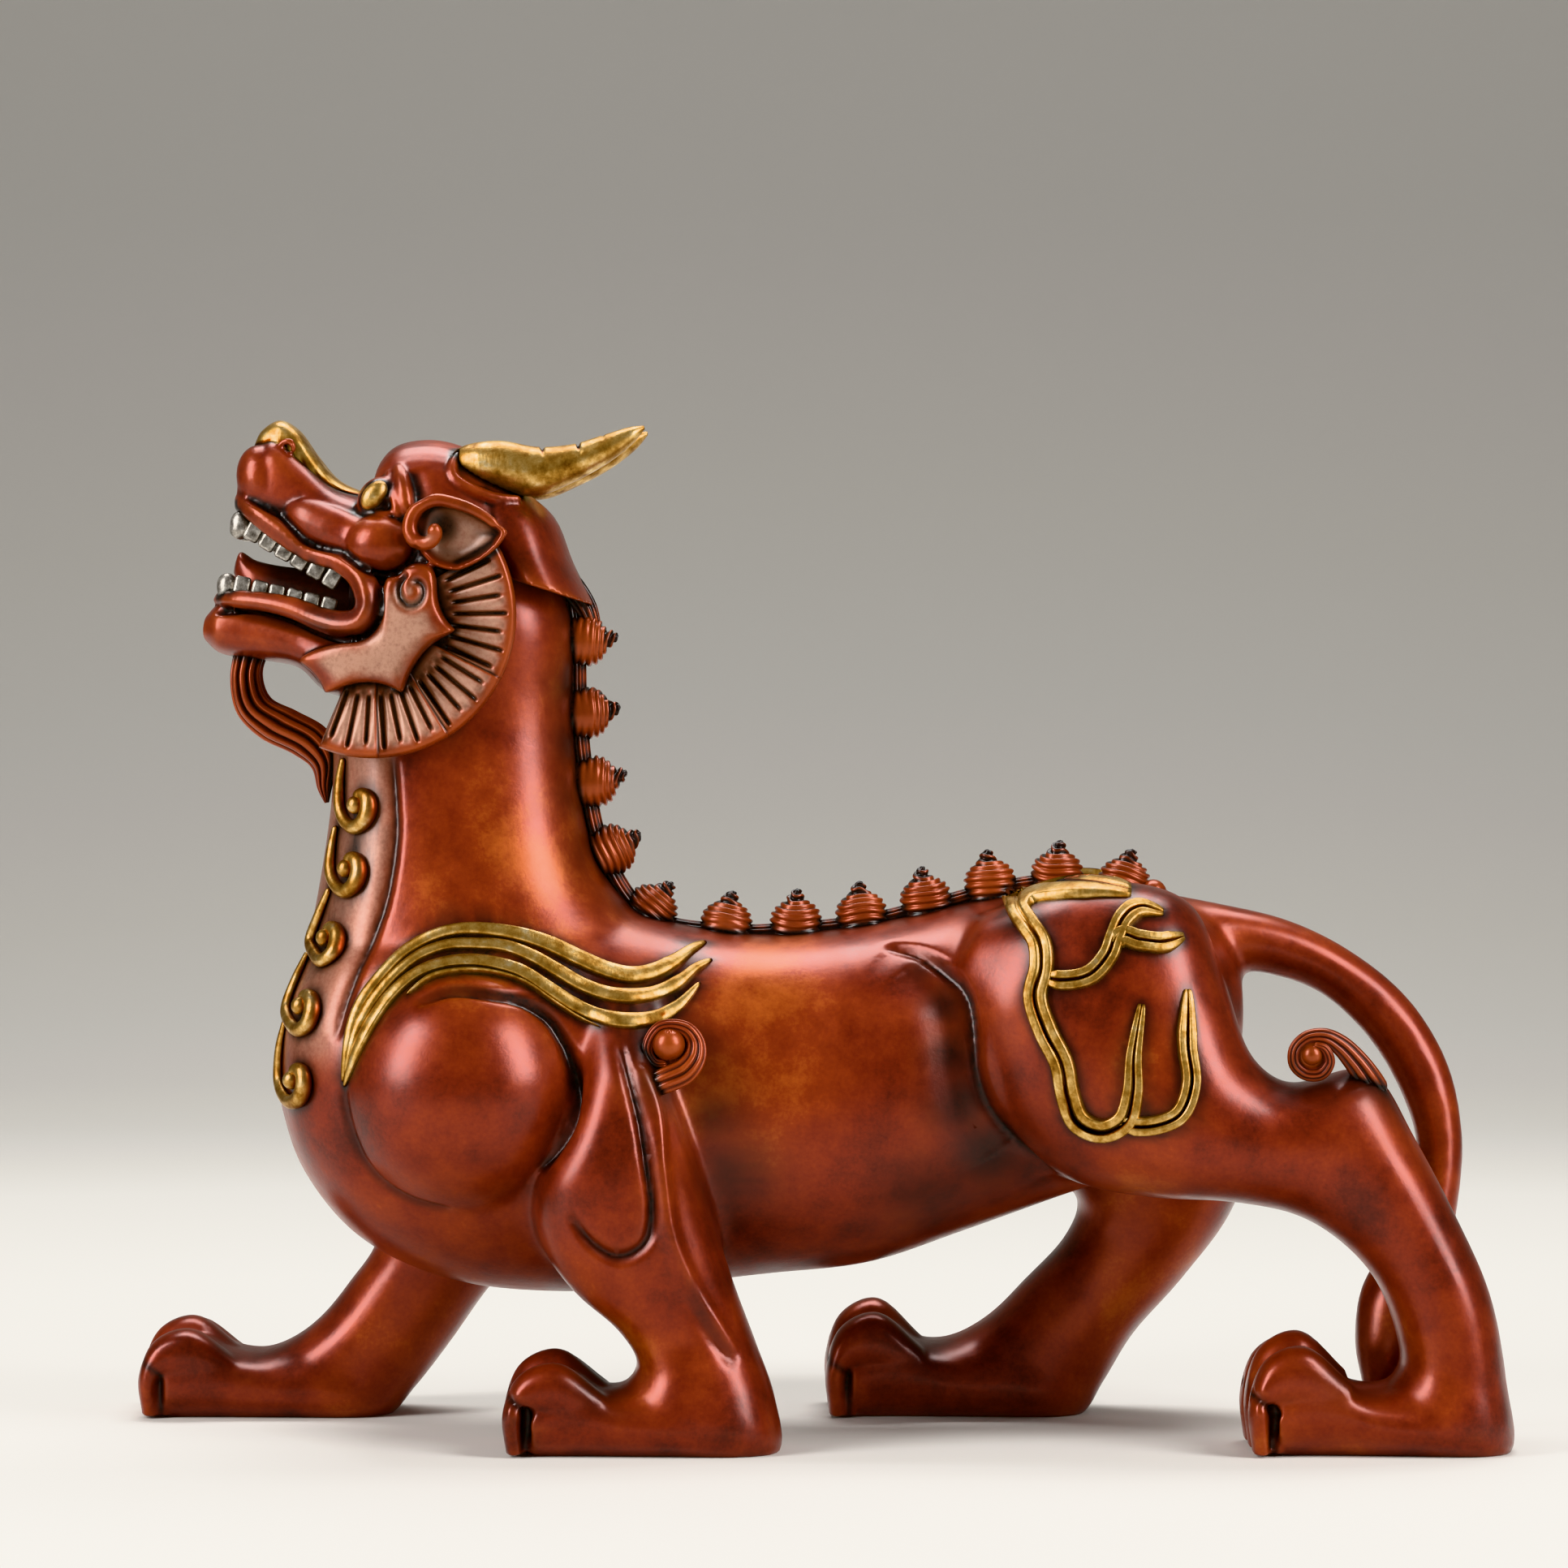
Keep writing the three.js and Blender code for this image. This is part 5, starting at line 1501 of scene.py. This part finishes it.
def rubbed_gilding():
    """Gold leaf burnished onto the bronze and worn by hand. It is rich where it is whole, brown where
    it is thin, scratched all ways, and black wax lines its edges and grooves."""
    material, tree, shader = blank("rubbed_gilding")
    place = add(tree, "TexCoord", {}, "Object")
    wax = add(tree, "Attribute", {"attribute_name": "wax"}, "Fac")
    missing = add(tree, "Attribute", {"attribute_name": "rubbed"}, "Fac")
    patches = add(tree, "TexNoise", {
        "Vector": place, "Scale": per(GOLD_PATCHES), "Detail": 7.0, "Roughness": 0.68,
    })
    slant = add(tree, "Mapping", {"Vector": place, "Rotation": (0.3, 0.6, 0.2), "Scale": (1, 1, 0.12)})
    scratches = add(tree, "TexNoise", {"Vector": slant, "Scale": per(SCRATCHES), "Detail": 3.0})
    gold = add(tree, "ValToRGB", {"Fac": patches, "stops": [
        (0.3, "684420"), (0.44, "9c7640"), (0.58, "c8a468"), (0.75, "efdcb0"),
    ]})
    bared = add(tree, "MixRGB", {"Fac": missing, "Color1": gold, "Color2": colour("6a1f10")})
    ragged = add(tree, "Math", {"operation": "MULTIPLY_ADD", 0: patches, 1: 0.8, 2: 0.5})
    hollow = add(tree, "Math", {"operation": "MULTIPLY", "use_clamp": True, 0: wax, 1: ragged})
    waxed_and_shaded = add(tree, "ValToRGB", {"Fac": hollow, "stops": [
        (0.08, "ffffff"), (0.4, "8a5634"), (0.75, "1a100a"),
    ]})
    lined = add(tree, "MixRGB", {"blend_type": "MULTIPLY", "Fac": 1.0, "Color1": bared, "Color2": waxed_and_shaded})
    rough = add(tree, "MapRange", {
        "Value": patches, "From Min": 0.3, "From Max": 0.7, "To Min": 0.46, "To Max": 0.3,
    })
    skin = add(tree, "Bump", {"Height": scratches, "Strength": 0.35, "Distance": 0.08 * MM})
    dents = add(tree, "Bump", {"Height": patches, "Normal": skin, "Strength": 0.25, "Distance": 0.1 * MM})
    set_up(tree, shader, {"Metallic": 1.0, "Base Color": lined, "Roughness": rough, "Normal": dents})
    return material


def grey_silvering():
    """Thin silvering on the teeth, tarnished in patches from a dark warm grey to bright, with wax in the
    gaps."""
    material, tree, shader = blank("grey_silvering")
    place = add(tree, "TexCoord", {}, "Object")
    wax = add(tree, "Attribute", {"attribute_name": "wax"}, "Fac")
    tarnish = add(tree, "TexNoise", {
        "Vector": place, "Scale": per(TARNISH), "Detail": 6.0, "Roughness": 0.65,
    })
    grey = add(tree, "ValToRGB", {"Fac": tarnish, "stops": [
        (0.3, "4a453f"), (0.5, "98928a"), (0.68, "dad6ce"),
    ]})
    lined = add(tree, "MixRGB", {"Fac": wax, "Color1": grey, "Color2": colour("15120e")})
    skin = add(tree, "Bump", {"Height": tarnish, "Strength": 0.3, "Distance": 0.1 * MM})
    set_up(tree, shader, {"Metallic": 0.85, "Roughness": 0.36, "Base Color": lined, "Normal": skin})
    return material


finishes = {BRONZE: chestnut_patina(), GILT: rubbed_gilding(), SILVER: grey_silvering()}
for name, (mesh, finish) in pieces.items():
    mesh.materials.clear()
    mesh.materials.append(finishes[finish])
    piece = link(mesh, name)
    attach(piece, BODY)
    if name == "qilin_body":
        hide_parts("qilin")

# Stage

bpy.context.scene.view_settings.view_transform = "Khronos PBR Neutral"

# A paper sweep: flat under the figure, then up in a quarter circle behind it. In metres.
SWEEP_START = 0.5
SWEEP_RADIUS = 0.9
SWEEP_REACH = 4.0
floor_shape = bmesh.new()
bmesh.ops.create_grid(floor_shape, x_segments=1, y_segments=96, size=SWEEP_REACH)
for corner in floor_shape.verts:
    travel = corner.co.y - SWEEP_START
    turn = min(max(travel / SWEEP_RADIUS, 0), math.pi / 2)
    if travel > 0:
        rest = max(travel - SWEEP_RADIUS * math.pi / 2, 0)
        corner.co.y = SWEEP_START + SWEEP_RADIUS * math.sin(turn)
        corner.co.z = SWEEP_RADIUS * (1 - math.cos(turn)) + rest
for face in floor_shape.faces:
    face.smooth = True
floor_mesh = bpy.data.meshes.new("floor")
floor_shape.to_mesh(floor_mesh)
floor_shape.free()
paper, _, paper_shader = blank("pale_paper")
paper_shader.inputs["Base Color"].default_value = colour("d8d5cf")
paper_shader.inputs["Roughness"].default_value = 0.7
floor_mesh.materials.append(paper)
floor = link(floor_mesh, "floor")


def soft_box(name, place, aim, size, power):
    """A lamp with a square face, in metres and watts."""
    lamp = bpy.data.lights.new(name, "AREA")
    lamp.shape = "RECTANGLE"
    lamp.size, lamp.size_y = size
    lamp.energy = power
    holder = bpy.data.objects.new(name, lamp)
    holder.location = place
    holder.rotation_euler = (Vector(aim) - Vector(place)).to_track_quat("-Z", "Y").to_euler()
    bpy.context.scene.collection.objects.link(holder)


soft_box("left soft box", (-0.5, -0.3, 0.34), (-0.02, 0, 0.06), (0.22, 0.5), 4.5)
soft_box("right soft box", (0.46, -0.3, 0.36), (0.02, 0, 0.06), (0.22, 0.5), 4.5)
soft_box("top soft box", (0, 0.2, 0.6), (0, 0, 0.05), (0.5, 0.22), 3.5)

world = bpy.data.worlds.new("studio")
world.use_nodes = True
room = world.node_tree.nodes["Background"]
room.inputs["Color"].default_value = (0.62, 0.6, 0.58, 1)
room.inputs["Strength"].default_value = 0.45
bpy.context.scene.world = world
